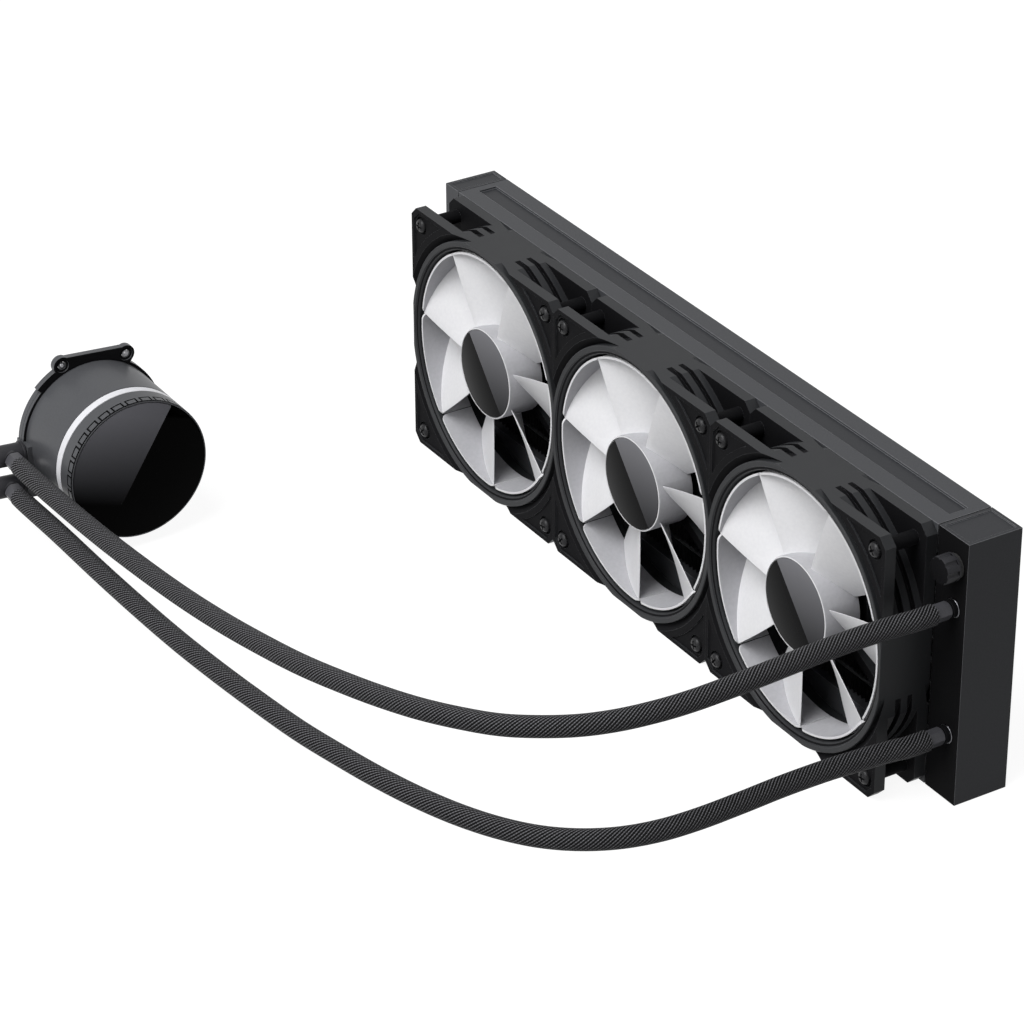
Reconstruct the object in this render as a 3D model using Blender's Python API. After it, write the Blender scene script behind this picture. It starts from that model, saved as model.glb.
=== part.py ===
"""Liquid cooler for a computer processor: a three-fan radiator, a pump head and two hoses.

Sizes are in millimetres in the constants and become metres in the mesh helpers.
World frame: +Z up, X along the radiator, the fans blow towards +Y into the radiator.
The origin is on the floor under the middle of the bounding box of the rigid pieces.
"""

import math

import bmesh
import bpy
from mathutils import Matrix, Vector

MM = 0.001
SEAT = 0.3          # gap kept between pieces that rest on each other
RUN = 0.25          # radial running clearance of a turning pin in its hole

# Fan size, which the radiator follows
FAN_SIZE = 120.0
FAN_HOLE_INSET = 7.5        # screw holes from the frame's edges

# Radiator
CORE_OVERHANG = 1.0         # core past the left fan
CORE_LENGTH = 3 * FAN_SIZE + CORE_OVERHANG      # between the two header plates
CORE_LEFT = -1.5 * FAN_SIZE - CORE_OVERHANG     # left header from the middle fan's axis
CORE_RIGHT = CORE_LEFT + CORE_LENGTH
RADIATOR_DEPTH = 26.0
RADIATOR_HEIGHT = FAN_SIZE
TANK_LEFT_LENGTH = 11.0
TANK_RIGHT_LENGTH = 19.5
TANK_WALL = 1.8
TANK_RIM = 1.9              # rim round the sunk panel on a tank's ends
PANEL_SINK = 0.5
HEADER_THICKNESS = 1.5
EDGE_BEVEL = 0.5
CHANNEL_HEIGHT = 13.0
CHANNEL_WALL = 1.2
CHANNEL_WEB = 2.2
CHANNEL_PANEL_WIDTH = 9.1
CHANNEL_PANEL_INSET = 4.2
CHANNEL_PANEL_SINK = 1.0
TUBE_COUNT = 8
TUBE_THICKNESS = 2.0
CORE_DEPTH = 20.0
FIN_FOLDS = 18              # half waves of each fin strip
FIN_THICKNESS = 0.5
FIN_BITE = 0.15             # how far a fold is brazed into its tube
TUBE_END = 0.8              # tubes past the header plates
TOOLING_HOLE_RADIUS = 0.8
TOOLING_HOLE_INSET = 1.7
TOOLING_HOLE_DROP = 3.2

# Radiator ports
PORT_INSET = 12.3           # ports past the right header
PORT_X = CORE_RIGHT + PORT_INSET
PORT_SPREAD = 58.0
PORT_DROP = 0.4             # the ports' middle below the radiator's middle
BARB_BORE = 1.6
BARB_RADIUS = 2.4
BARB_TAIL = 2.0             # barb past the tank's wall on the inside
BARB_FLANGE_RADIUS = 4.3
BARB_FLANGE = 2.4
SLEEVE_LENGTH = 7.0
SLEEVE_FLATS = 7.4          # across the flats of the hex sleeve
SLEEVE_EDGE = 0.4
FILLER_DROP = 12.3          # filler cap below the radiator's top
FILLER_RISE = RADIATOR_HEIGHT / 2 - FILLER_DROP
FILLER_HEAD_RADIUS = 5.9
FILLER_HEAD = 7.8
FILLER_EDGE = 0.8           # broken edge round the cap's end
FILLER_STEM_RADIUS = 3.0
FILLER_STEM = 3.0
FILLER_SEAL = 1.0
FILLER_SEAL_INSET = 0.6     # seal inside the cap's rim
FILLER_FLUTES = 8
FLUTE_RADIUS = 0.9
FLUTE_RISE = 1.2            # flutes start this far above the cap's seat

# Fan
FAN_DEPTH = 25.0
FAN_HOLE_SPREAD = FAN_SIZE - 2 * FAN_HOLE_INSET
FAN_CORNER = 4.0            # corner chamfer
PLATE_THICKNESS = 5.2       # front and rear corner plates
BARREL_BULGE = 4.0          # the duct is this much wider than the frame's flat sides
BARREL_RADIUS = FAN_SIZE / 2 + BARREL_BULGE
DUCT_WALL = 3.0             # at the flat sides
FAN_BORE_RADIUS = FAN_SIZE / 2 - DUCT_WALL
LAND_WIDTH = 1.6
LAND_RADIUS = FAN_BORE_RADIUS + LAND_WIDTH
LAND_SINK = 0.7
LAND_STEP = 1.6
RING_WIDTH = 2.7
RING_RADIUS = LAND_RADIUS + RING_WIDTH
GROOVE_WIDTH = 3.3
GROOVE_RADIUS = RING_RADIUS + GROOVE_WIDTH
GROOVE_DEPTH = 3.2
POCKET_LIP = 3.0
POCKET_RADIUS = GROOVE_RADIUS + POCKET_LIP
POCKET_BORDER = 1.8
POCKET_SINK = 0.7
COUNTERBORE_RADIUS = 4.3
COUNTERBORE_DEPTH = 2.2
POST_RADIUS = 3.7
STRUT_COUNT = 4
STRUT_WIDTH = 4.6
STRUT_THICKNESS = 3.6
STRUT_START_ANGLE = 28.0
STRUT_SWEEP = 24.0
STRUT_BITE = 1.5            # strut ends inside the motor base and the duct's wall
MOTOR_BASE_RADIUS = 21.0
MOTOR_BASE_THICKNESS = 2.4
BEARING_TUBE_RADIUS = 5.0
BEARING_TUBE_HEIGHT = 12.5
MOTOR_RIM = 0.6
DUCT_STEPS = 28             # sides of the fan's duct
HUB_STEPS = 18

# Fan rotor
HUB_RADIUS = 21.2
HUB_FRONT = 23.2            # height of the hub's front face above the fan's rear face
HUB_REAR = 6.2
HUB_WALL = 1.5
HUB_RIM = 1.4               # rim round the hub's gloss cap
HUB_CAP_RADIUS = HUB_RADIUS - HUB_RIM
HUB_CAP_THICKNESS = 0.9
HUB_CAP_RISE = 0.1          # cap past the hub's rim
HUB_BOSS_RADIUS = 4.2
HUB_BOSS_ROOF = 1.5         # thicker roof over the shaft
END_PLAY = 0.5              # between the hub's boss and the bearing tube
BLADE_COUNT = 7
BLADE_BITE = 0.8            # blade root inside the hub
BLADE_START_ANGLE = 121.1
BLADE_THICKNESS = 1.1
BLADE_SPAN_STEPS = 3
BLADE_CHORD_STEPS = 3
ROOT_LEAD_ANGLE = 2.5       # root's leading edge ahead of the tip's
ROOT_CHORD_ANGLE = 46.0
TIP_CHORD_ANGLE = 34.0
ROOT_LEAD_HEIGHT = 20.6
TIP_LEAD_HEIGHT = 22.2
TRAIL_HEIGHT = 7.6
CAMBER = 0.22
TIP_CLEARANCE = 1.1         # between the tip walls and the duct
TIP_WALL_RADIUS = FAN_BORE_RADIUS - TIP_CLEARANCE
TIP_WALL_THICKNESS = 1.0
TIP_WALL_FRONT = 23.1
TIP_WALL_REAR = 7.2
TIP_WALL_GAP_ANGLE = 2.2
TIP_WALL_CORNER_ANGLE = 3.0
TIP_WALL_CORNER = 2.6
SHAFT_RADIUS = 1.5
BEARING_RADIUS = 3.4
BEARING_FLOOR = 0.6
MAGNET_THICKNESS = 1.9
MAGNET_INSET = 0.6          # magnet ring above the hub's rear edge
STATOR_POLES = 4
STATOR_AIR_GAP = 0.7
STATOR_HEIGHT = 9.0
BOARD_THICKNESS = 1.2
FAN_BOARD_RADIUS = 15.5

# Fan screw
SCREW_HEAD_RADIUS = 3.3
SCREW_HEAD_HEIGHT = 1.4
SCREW_DOME = 1.5
SCREW_SHANK_RADIUS = 1.7
SCREW_REACH = 3.2           # shank behind the radiator's front face
SCREW_BITE = 1.0            # head sunk into the plate that it is one body with
SCREW_DOME_SHARE = 0.72

# Pump head: heights are measured from the back of its base towards its face
PUMP_BASE_X = -208.2
PUMP_AXIS_Y = -178.6
PUMP_ROLL = -4.5
PUMP_RADIUS = 33.0
PUMP_STEPS = 24             # sides of the pump's round pieces
PLATE_RADIUS = PUMP_RADIUS - 1.4
PLATE_SCREW_CIRCLE = PLATE_RADIUS - 2.4
WET_RADIUS = PLATE_SCREW_CIRCLE - 4.6
HOUSING_HEIGHT = 35.0
HOUSING_WALL = 2.2
WET_ROOF = 14.0
ROOF_THICKNESS = 1.6
CAN_RADIUS = 8.8
CAN_WALL = 1.2
CAN_HEIGHT = 13.0
LIGHT_RING_HEIGHT = 4.0
LIGHT_RING_WALL = 3.4
COLLAR_HEIGHT = 11.0
COLLAR_RECESS = 2.2
COLLAR_RIM = 0.7
SLOT_COUNT = 30
SLOT_SHARE = 0.62
SLOT_DEPTH = 0.6
SLOT_HEIGHT = 3.6
SLOT_INSET = 0.9
FACE_THICKNESS = 1.9
FACE_EDGE = 0.3
PORT_BLOCK_PROUD = 2.0      # port block past the housing's side
PORT_BLOCK_REACH = PUMP_RADIUS + PORT_BLOCK_PROUD
PORT_BLOCK_ROOT = 6.0       # port block inside the wet chamber's radius, before it is bored
PORT_BLOCK_TOP = 0.2
PORT_BLOCK_WIDTH = 25.0
PORT_BLOCK_HEIGHT = 11.3
ELBOW_UPPER = -4.6
ELBOW_SPACING = 15.4
ELBOW_HEIGHT = 5.7
ELBOW_RADIUS = 5.0
ELBOW_ARM = 7.1             # hose axis from the port block
ELBOW_REACH = PORT_BLOCK_REACH + ELBOW_ARM
ELBOW_TIP = 6.5             # closed end beyond the hose axis
ELBOW_EDGE = 0.7            # broken edge round the closed end
ELBOW_SPIGOT_RADIUS = 2.3
ELBOW_SPIGOT = 4.0
ELBOW_BORE = 1.5
ELBOW_FLANGE_RADIUS = 5.6
ELBOW_FLANGE = 1.2
PUMP_SLEEVE_LENGTH = 6.6
BASE_STEP = 1.4             # base rim past the housing's side
BASE_RADIUS = PUMP_RADIUS + BASE_STEP
BASE_HEIGHT = 3.2
BRACKET_THICKNESS = 1.7
BRACKET_SKIRT = 1.5         # the ears and arcs reach this much further back than the ring
BRACKET_ARC_WIDTH = 2.4
BRACKET_ARC_RADIUS = BASE_RADIUS + BRACKET_ARC_WIDTH
BRACKET_ARC_ANGLE = 49.0    # half angle of the wider arcs round each pair of ears
EAR_X = 15.7
EAR_INSET = 3.1             # ears' middle inside the wider arcs
EAR_Y = BRACKET_ARC_RADIUS - EAR_INSET
EAR_RADIUS = 4.2
EAR_HOLE_RADIUS = 1.9
EAR_BAR_RISE = 3.7          # bar between two ears, over their middle
EAR_BAR_TOP = EAR_Y + EAR_BAR_RISE
PLATE_FLANGE = 1.6
PLATE_CONTACT_RADIUS = WET_RADIUS + 0.4
PLATE_CONTACT = 2.5
PLATE_SCREW_COUNT = 4
PLATE_SCREW_RADIUS = 1.0
PLATE_SCREW_HEAD = 1.8
PLATE_SCREW_HEAD_HEIGHT = 0.9
PLATE_SCREW_LENGTH = 8.0
SEAL_WIDTH = 1.4
SEAL_THICKNESS = 0.8
JET_PLATE_THICKNESS = 1.2
JET_HOLE_RADIUS = 4.0
IMPELLER_RADIUS = 15.5
IMPELLER_DISC = 1.4
IMPELLER_PLAY = 1.0         # disc under the wet chamber's roof
IMPELLER_VANES = 6
VANE_HEIGHT = 3.0
VANE_THICKNESS = 1.2
VANE_START = 4.5            # vane's inner end from the axis
VANE_SWEEP = -0.7           # radians from inner to outer end
IMPELLER_MAGNET_RADIUS = 7.9
IMPELLER_MAGNET_HEIGHT = 10.5
IMPELLER_PIN_RADIUS = 1.2
PUMP_STATOR_RADIUS = 22.0
PUMP_STATOR_HEIGHT = 9.0
PUMP_BOARD_RADIUS = PUMP_RADIUS - HOUSING_WALL - 1.2

# Hoses
HOSE_DIAMETER = 8.8
HOSE_STEPS = 24
HOSE_LEAD = 9.0             # straight stretch out of each sleeve
# Each free hose from its end at the radiator: SPAN is its end at the pump, ROUTE lies between
HOSE_UPPER_SPAN = (-382.6, -210.6, -50.9)
HOSE_UPPER_ROUTE = (
    (-1.1, -16.6, -0.3), (-2.4, -32.6, -0.8), (-3.0, -48.6, -1.5), (-3.1, -64.6, -2.3),
    (-3.3, -80.6, -3.3), (-4.1, -95.6, -4.5), (-5.7, -109.6, -5.9), (-8.3, -122.6, -7.2),
    (-12.9, -136.6, -8.8), (-19.8, -149.6, -10.5), (-29.4, -161.3, -12.3), (-41.5, -171.6, -14.5),
    (-56.5, -180.0, -16.8), (-73.9, -187.5, -19.4), (-94.0, -193.6, -22.4),
    (-116.4, -198.7, -25.7), (-140.9, -203.0, -29.3), (-168.8, -205.9, -33.3),
    (-199.2, -208.0, -37.5), (-232.1, -209.2, -41.6), (-270.0, -209.7, -45.6),
    (-308.1, -210.0, -48.7), (-348.6, -210.2, -50.7),
)
HOSE_LOWER_SPAN = (-382.6, -211.8, -8.2)
HOSE_LOWER_ROUTE = (
    (-1.3, -16.6, 0.0), (-2.9, -32.6, -0.1), (-3.9, -47.6, -0.2), (-4.1, -66.6, -0.4),
    (-3.5, -86.6, -0.7), (-3.3, -105.6, -0.9), (-4.9, -122.6, -1.2), (-9.3, -138.0, -1.5),
    (-16.7, -151.4, -1.8), (-26.9, -162.9, -2.1), (-40.4, -172.5, -2.5), (-56.7, -180.6, -2.9),
    (-75.6, -187.3, -3.4), (-96.8, -193.0, -3.9), (-119.9, -197.8, -4.4), (-144.8, -202.0, -5.1),
    (-172.6, -205.1, -5.7), (-202.1, -207.6, -6.4), (-233.8, -209.6, -7.0),
    (-268.1, -210.6, -7.6), (-304.8, -211.1, -8.0), (-344.1, -211.2, -8.2),
)

# Places worked out from the sizes above, before the origin is moved under the object
RADIATOR_MIDDLE_Z = RADIATOR_HEIGHT / 2
PUMP_CENTRE_Z = (
    EAR_RADIUS
    + EAR_Y * math.cos(math.radians(PUMP_ROLL))
    - EAR_X * math.sin(math.radians(PUMP_ROLL))
)
ELBOW_TIP_REACH = ELBOW_REACH + ELBOW_TIP
ELBOW_LOWER = ELBOW_UPPER - ELBOW_SPACING
OBJECT_LEFT = PUMP_BASE_X - PLATE_CONTACT
OBJECT_RIGHT = CORE_RIGHT + TANK_RIGHT_LENGTH
OBJECT_FRONT = PUMP_AXIS_Y + (
    -ELBOW_TIP_REACH * math.cos(math.radians(PUMP_ROLL))
    - (ELBOW_LOWER - ELBOW_RADIUS + ELBOW_EDGE) * math.sin(math.radians(PUMP_ROLL))
)
OBJECT_BACK = RADIATOR_DEPTH
ORIGIN_SHIFT = Vector((
    -(OBJECT_LEFT + OBJECT_RIGHT) / 2,
    -(OBJECT_FRONT + OBJECT_BACK) / 2,
    0.0,
))


# Materials
def finish(name, colour, roughness, metallic=0.0):
    """Return a Principled material with the given linear colour."""
    material = bpy.data.materials.new(name)
    material.use_nodes = True
    shader = material.node_tree.nodes["Principled BSDF"]
    shader.inputs["Base Color"].default_value = (*colour, 1.0)
    shader.inputs["Roughness"].default_value = roughness
    shader.inputs["Metallic"].default_value = metallic
    material.diffuse_color = (*colour, 1.0)
    return material


# Mesh helpers
def new_object(name, mesh):
    """Link a new object that shows mesh."""
    part = bpy.data.objects.new(name, mesh)
    bpy.context.scene.collection.objects.link(part)
    return part


def mesh_from(name, build):
    """Run build on an empty bmesh and return it as a mesh with outward faces."""
    work = bmesh.new()
    build(work)
    bmesh.ops.recalc_face_normals(work, faces=work.faces)
    mesh = bpy.data.meshes.new(name)
    work.to_mesh(mesh)
    work.free()
    return mesh


def prism(outline, bottom, top):
    """Return a builder of a closed outline in X and Y, raised from bottom to top."""
    def build(work):
        lower = [work.verts.new((x * MM, y * MM, bottom * MM)) for x, y in outline]
        upper = [work.verts.new((x * MM, y * MM, top * MM)) for x, y in outline]
        work.faces.new(lower)
        work.faces.new(upper)
        for i in range(len(outline)):
            j = (i + 1) % len(outline)
            work.faces.new((lower[i], lower[j], upper[j], upper[i]))
    return build


def turned(profile, steps, phase=0.0):
    """Return a builder of a closed profile of (radius, height) points turned about Z.

    Points at radius 0 become poles. The profile closes on itself.
    """
    def build(work):
        rings = []
        for radius, height in profile:
            if radius == 0:
                rings.append([work.verts.new((0, 0, height * MM))])
                continue
            ring = []
            for k in range(steps):
                angle = phase + 2 * math.pi * k / steps
                ring.append(work.verts.new((
                    radius * MM * math.cos(angle),
                    radius * MM * math.sin(angle),
                    height * MM,
                )))
            rings.append(ring)
        count = len(rings)
        for i in range(count):
            a, b = rings[i], rings[(i + 1) % count]
            if len(a) == 1 and len(b) == 1:
                continue
            for k in range(steps):
                m = (k + 1) % steps
                if len(a) == 1:
                    work.faces.new((a[0], b[k], b[m]))
                elif len(b) == 1:
                    work.faces.new((a[k], a[m], b[0]))
                else:
                    work.faces.new((a[k], a[m], b[m], b[k]))
    return build


def tube_profile(inner, outer, bottom, top):
    """Return the profile of a plain tube."""
    return [(inner, bottom), (outer, bottom), (outer, top), (inner, top)]


def rod_profile(radius, bottom, top):
    """Return the profile of a plain rod."""
    return [(0, bottom), (radius, bottom), (radius, top), (0, top)]


def box(x_range, y_range, z_range):
    """Return a builder of a box between the given limits."""
    (x0, x1), (y0, y1), (z0, z1) = x_range, y_range, z_range
    return prism([(x0, y0), (x1, y0), (x1, y1), (x0, y1)], z0, z1)


def arc_points(radius, first, last, steps, centre=(0.0, 0.0)):
    """Return points along an arc, both ends included."""
    return [
        (
            centre[0] + radius * math.cos(first + (last - first) * k / steps),
            centre[1] + radius * math.sin(first + (last - first) * k / steps),
        )
        for k in range(steps + 1)
    ]


def circle_outline(radius, steps, phase=0.0):
    """Return points round a circle."""
    return arc_points(radius, phase, phase + 2 * math.pi, steps)[:-1]


def together(*builders):
    """Return a builder that runs several builders into one mesh."""
    def build(work):
        for builder in builders:
            builder(work)
    return build


def moved(builder, matrix):
    """Return a builder whose new vertices are moved by matrix, given in millimetres."""
    def build(work):
        before = set(work.verts)
        builder(work)
        added = [v for v in work.verts if v not in before]
        scale = Matrix.Scale(MM, 4)
        bmesh.ops.transform(work, matrix=scale @ matrix @ scale.inverted(), verts=added)
    return build


def shifted(builder, x=0.0, y=0.0, z=0.0):
    """Return a builder moved by the given distances."""
    return moved(builder, Matrix.Translation((x, y, z)))


def repeated_round(builder, count):
    """Return a builder that repeats builder round the Z axis."""
    return together(*(
        moved(builder, Matrix.Rotation(2 * math.pi * k / count, 4, "Z")) for k in range(count)
    ))


def bevelled(mesh, width, angle=35.0):
    """Bevel the sharp edges of mesh in place."""
    work = bmesh.new()
    work.from_mesh(mesh)
    sharp = [e for e in work.edges if e.calc_face_angle(0.0) > math.radians(angle)]
    bmesh.ops.bevel(
        work, geom=sharp, offset=width * MM, segments=1, profile=0.5, affect="EDGES",
        clamp_overlap=True,
    )
    bmesh.ops.recalc_face_normals(work, faces=work.faces)
    work.to_mesh(mesh)
    work.free()
    return mesh


def combine(mesh, steps):
    """Return mesh after a chain of exact Booleans.

    Each step is an operation name and a mesh, such as ("DIFFERENCE", holes).
    """
    body = new_object("work_body", mesh)
    helpers = []
    for operation, other in steps:
        helper = new_object("work_tool", other)
        helper.hide_render = True
        helper.display_type = "WIRE"
        modifier = body.modifiers.new(operation.title(), "BOOLEAN")
        modifier.operation = operation
        modifier.solver = "EXACT"
        modifier.object = helper
        helpers.append(helper)
    bpy.context.view_layer.update()
    evaluated = body.evaluated_get(bpy.context.evaluated_depsgraph_get())
    result = bpy.data.meshes.new_from_object(evaluated)
    for item in (body, *helpers):
        bpy.data.objects.remove(item)
    work = bmesh.new()
    work.from_mesh(result)
    bmesh.ops.remove_doubles(work, verts=work.verts, dist=0.00001)
    bmesh.ops.dissolve_degenerate(work, edges=work.edges, dist=0.00001)
    bmesh.ops.dissolve_limit(
        work, angle_limit=math.radians(0.2), verts=work.verts, edges=work.edges
    )
    work.to_mesh(result)
    work.free()
    return result


def smooth(mesh, angle=32.0):
    """Shade mesh smooth apart from its sharp edges."""
    mesh.shade_smooth()
    mesh.set_sharp_from_angle(angle=math.radians(angle))
    return mesh


def place(name, mesh, material, parent):
    """Add a named piece under an empty that stands where the piece is measured from."""
    if not mesh.materials:
        mesh.materials.append(material)
    else:
        mesh.materials[0] = material
    piece = new_object(name, smooth(mesh))
    piece.parent = parent
    return piece


def station(name, matrix):
    """Add an empty; matrix holds millimetres."""
    empty = bpy.data.objects.new(name, None)
    bpy.context.scene.collection.objects.link(empty)
    empty.empty_display_size = 0.02
    empty.matrix_world = matrix
    empty.location = (matrix.translation + ORIGIN_SHIFT) * MM
    return empty


# Radiator
def tank_mesh(length, ports):
    """Return an end tank: X runs from its header out to its closed end."""
    half = RADIATOR_HEIGHT / 2
    shell = bevelled(
        mesh_from("tank", box((0, length), (0, RADIATOR_DEPTH), (-half, half))), EDGE_BEVEL
    )
    hollow = box(
        (-1, length - TANK_WALL),
        (TANK_WALL, RADIATOR_DEPTH - TANK_WALL),
        (-half + 2 * TANK_WALL, half - 2 * TANK_WALL),
    )
    panels = together(*(
        box(
            (-1, length - TANK_RIM),
            (TANK_RIM, RADIATOR_DEPTH - TANK_RIM),
            (min(z, z + side * 5), max(z, z + side * 5)),
        )
        for side, z in ((1, half - PANEL_SINK), (-1, -half + PANEL_SINK))
    ))
    steps = [
        ("DIFFERENCE", mesh_from("hollow", hollow)),
        ("DIFFERENCE", mesh_from("panels", panels)),
    ]
    if ports:
        bores = together(*(
            moved(
                turned(rod_profile(radius, -1, TANK_WALL + 1), 12),
                Matrix.Translation((x, 0, z)) @ Matrix.Rotation(math.radians(-90), 4, "X"),
            )
            for x, z, radius in ports
        ))
        steps.append(("DIFFERENCE", mesh_from("bores", bores)))
    return combine(shell, steps)


def tube_heights():
    """Return the height of each flat tube's middle, from the radiator's middle."""
    free = RADIATOR_HEIGHT - 2 * (CHANNEL_HEIGHT + SEAT + FIN_BITE)
    pitch = (free + TUBE_THICKNESS) / (TUBE_COUNT + 1)
    return [pitch * (k - (TUBE_COUNT - 1) / 2) for k in range(TUBE_COUNT)], pitch


def tube_outline(clearance=0.0):
    """Return a flat tube's section: across the depth and the height, with round ends."""
    half = CORE_DEPTH / 2 + clearance
    nose = TUBE_THICKNESS / 2 + clearance
    flat = half - nose
    return [
        (flat, -nose), (half, 0.0), (flat, nose), (-flat, nose), (-half, 0.0), (-flat, -nose),
    ]


def along_x(outline, start, end):
    """Return a builder of an outline in Y and Z that runs along X."""
    turn = Matrix(((0, 0, 1, 0), (1, 0, 0, 0), (0, 1, 0, 0), (0, 0, 0, 1)))
    return moved(prism(outline, start, end), turn)


def fin_strip(rise):
    """Return a builder of one folded fin strip that reaches rise above and below its middle."""
    start = SEAT
    step = (CORE_LENGTH - 2 * SEAT) / FIN_FOLDS
    half = FIN_THICKNESS / 2

    def build(work):
        crests = [(start + step * k, (rise - half) * (-1) ** k) for k in range(FIN_FOLDS + 1)]
        outline = [(x, z + half) for x, z in crests] + [(x, z - half) for x, z in crests[::-1]]
        count = len(outline)
        sides = [
            [work.verts.new((x * MM, y * MM, z * MM)) for x, z in outline]
            for y in (-CORE_DEPTH / 2, CORE_DEPTH / 2)
        ]
        for i in range(count):
            j = (i + 1) % count
            work.faces.new((sides[0][i], sides[0][j], sides[1][j], sides[1][i]))
        for k in range(FIN_FOLDS):
            for side in sides:
                work.faces.new((side[k], side[k + 1], side[count - 2 - k], side[count - 1 - k]))
    return build


def core_mesh():
    """Return the brazed core: flat water tubes with folded fins between them."""
    reach = HEADER_THICKNESS + SEAT + TUBE_END
    middle = RADIATOR_DEPTH / 2
    heights, pitch = tube_heights()
    tubes = together(*(
        shifted(along_x(tube_outline(), -reach, CORE_LENGTH + reach), y=middle, z=z)
        for z in heights
    ))
    strip = fin_strip((pitch - TUBE_THICKNESS) / 2 + FIN_BITE)
    rows = [heights[0] - pitch / 2] + [z + pitch / 2 for z in heights]
    fins = together(*(shifted(strip, y=middle, z=z) for z in rows))
    return combine(mesh_from("tubes", tubes), [("UNION", mesh_from("fins", fins))])


def header_mesh():
    """Return a header plate with one slot for each flat tube; X grows towards its tank."""
    half = RADIATOR_HEIGHT / 2 - EDGE_BEVEL
    heights, _ = tube_heights()
    plate = mesh_from("header", box(
        (SEAT, SEAT + HEADER_THICKNESS - SEAT),
        (EDGE_BEVEL, RADIATOR_DEPTH - EDGE_BEVEL),
        (-half, half),
    ))
    slots = mesh_from("slots", together(*(
        shifted(
            along_x(tube_outline(SEAT), -1, HEADER_THICKNESS + 1), y=RADIATOR_DEPTH / 2, z=z
        )
        for z in heights
    )))
    return combine(plate, [("DIFFERENCE", slots)])


def fan_hole_places():
    """Return the X places of the fan holes, from the left header."""
    return [
        fan * FAN_SIZE + side * FAN_HOLE_SPREAD / 2 - CORE_LEFT
        for fan in (-1, 0, 1)
        for side in (-1, 1)
    ]


def channel_mesh():
    """Return a side channel: a box section with its outer web on top at height 0."""
    length = (SEAT, CORE_LENGTH - SEAT)
    shell = bevelled(
        mesh_from("channel", box(length, (0, RADIATOR_DEPTH), (-CHANNEL_HEIGHT, 0))), EDGE_BEVEL
    )
    hollow = box(
        (-5, CORE_LENGTH + 5),
        (CHANNEL_WALL, RADIATOR_DEPTH - CHANNEL_WALL),
        (-CHANNEL_HEIGHT + CHANNEL_WALL, -CHANNEL_WEB),
    )
    middle = RADIATOR_DEPTH / 2
    panel = box(
        (CHANNEL_PANEL_INSET, CORE_LENGTH - CHANNEL_PANEL_INSET),
        (middle - CHANNEL_PANEL_WIDTH / 2, middle + CHANNEL_PANEL_WIDTH / 2),
        (-CHANNEL_PANEL_SINK, 5),
    )
    through = moved(
        turned(rod_profile(SCREW_SHANK_RADIUS + SEAT, -1, RADIATOR_DEPTH + 1), 6),
        Matrix.Rotation(math.radians(-90), 4, "X"),
    )
    tooling = moved(
        turned(rod_profile(TOOLING_HOLE_RADIUS, -1, CHANNEL_WALL + 1), 6),
        Matrix.Translation((TOOLING_HOLE_INSET, 0, -TOOLING_HOLE_DROP))
        @ Matrix.Rotation(math.radians(-90), 4, "X"),
    )
    screws = (shifted(through, x=x, z=-FAN_HOLE_INSET) for x in fan_hole_places())
    holes = together(tooling, *screws)
    return combine(shell, [
        ("DIFFERENCE", mesh_from("hollow", hollow)),
        ("DIFFERENCE", mesh_from("panel", panel)),
        ("DIFFERENCE", mesh_from("holes", holes)),
    ])


def barb_mesh():
    """Return a hose barb: Z runs out of the tank and 0 is the tank's face."""
    end = SEAT + BARB_FLANGE + SEAT + SLEEVE_LENGTH
    return mesh_from("barb", turned([
        (BARB_BORE, -TANK_WALL - BARB_TAIL), (BARB_RADIUS - SEAT, -TANK_WALL - BARB_TAIL),
        (BARB_RADIUS - SEAT, SEAT), (BARB_FLANGE_RADIUS, SEAT),
        (BARB_FLANGE_RADIUS, SEAT + BARB_FLANGE), (BARB_RADIUS, SEAT + BARB_FLANGE),
        (BARB_RADIUS, end), (BARB_BORE, end),
    ], 12))


def sleeve_mesh(length, bore):
    """Return a hex sleeve that starts at height 0, with chamfered ends."""
    corner = SLEEVE_FLATS / 2 / math.cos(math.pi / 6)
    body = mesh_from("sleeve", prism(circle_outline(corner, 6), 0, length))
    bevelled(body, SLEEVE_EDGE, angle=70.0)
    return combine(body, [
        ("DIFFERENCE", mesh_from("bore", turned(rod_profile(bore, -1, length + 1), 12))),
    ])


def filler_cap_mesh():
    """Return the fluted filler cap: Z runs out of the tank and 0 is the tank's face."""
    seat = 2 * SEAT + FILLER_SEAL
    head = mesh_from("cap", turned([
        (0, -TANK_WALL - FILLER_STEM), (FILLER_STEM_RADIUS, -TANK_WALL - FILLER_STEM),
        (FILLER_STEM_RADIUS, seat), (FILLER_HEAD_RADIUS, seat),
        (FILLER_HEAD_RADIUS, FILLER_HEAD),
        (FILLER_HEAD_RADIUS - FILLER_EDGE, FILLER_HEAD + FILLER_EDGE),
        (0, FILLER_HEAD + FILLER_EDGE),
    ], 16))
    flute = shifted(
        turned(rod_profile(FLUTE_RADIUS, seat + FLUTE_RISE, FILLER_HEAD + 5), 6),
        x=FILLER_HEAD_RADIUS + FLUTE_RADIUS / 3,
    )
    return combine(head, [
        ("DIFFERENCE", mesh_from("flutes", repeated_round(flute, FILLER_FLUTES))),
    ])


def port_rises():
    """Return each hose port's name and its place above the radiator's middle."""
    return (("upper", PORT_SPREAD / 2 - PORT_DROP), ("lower", -PORT_SPREAD / 2 - PORT_DROP))


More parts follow.
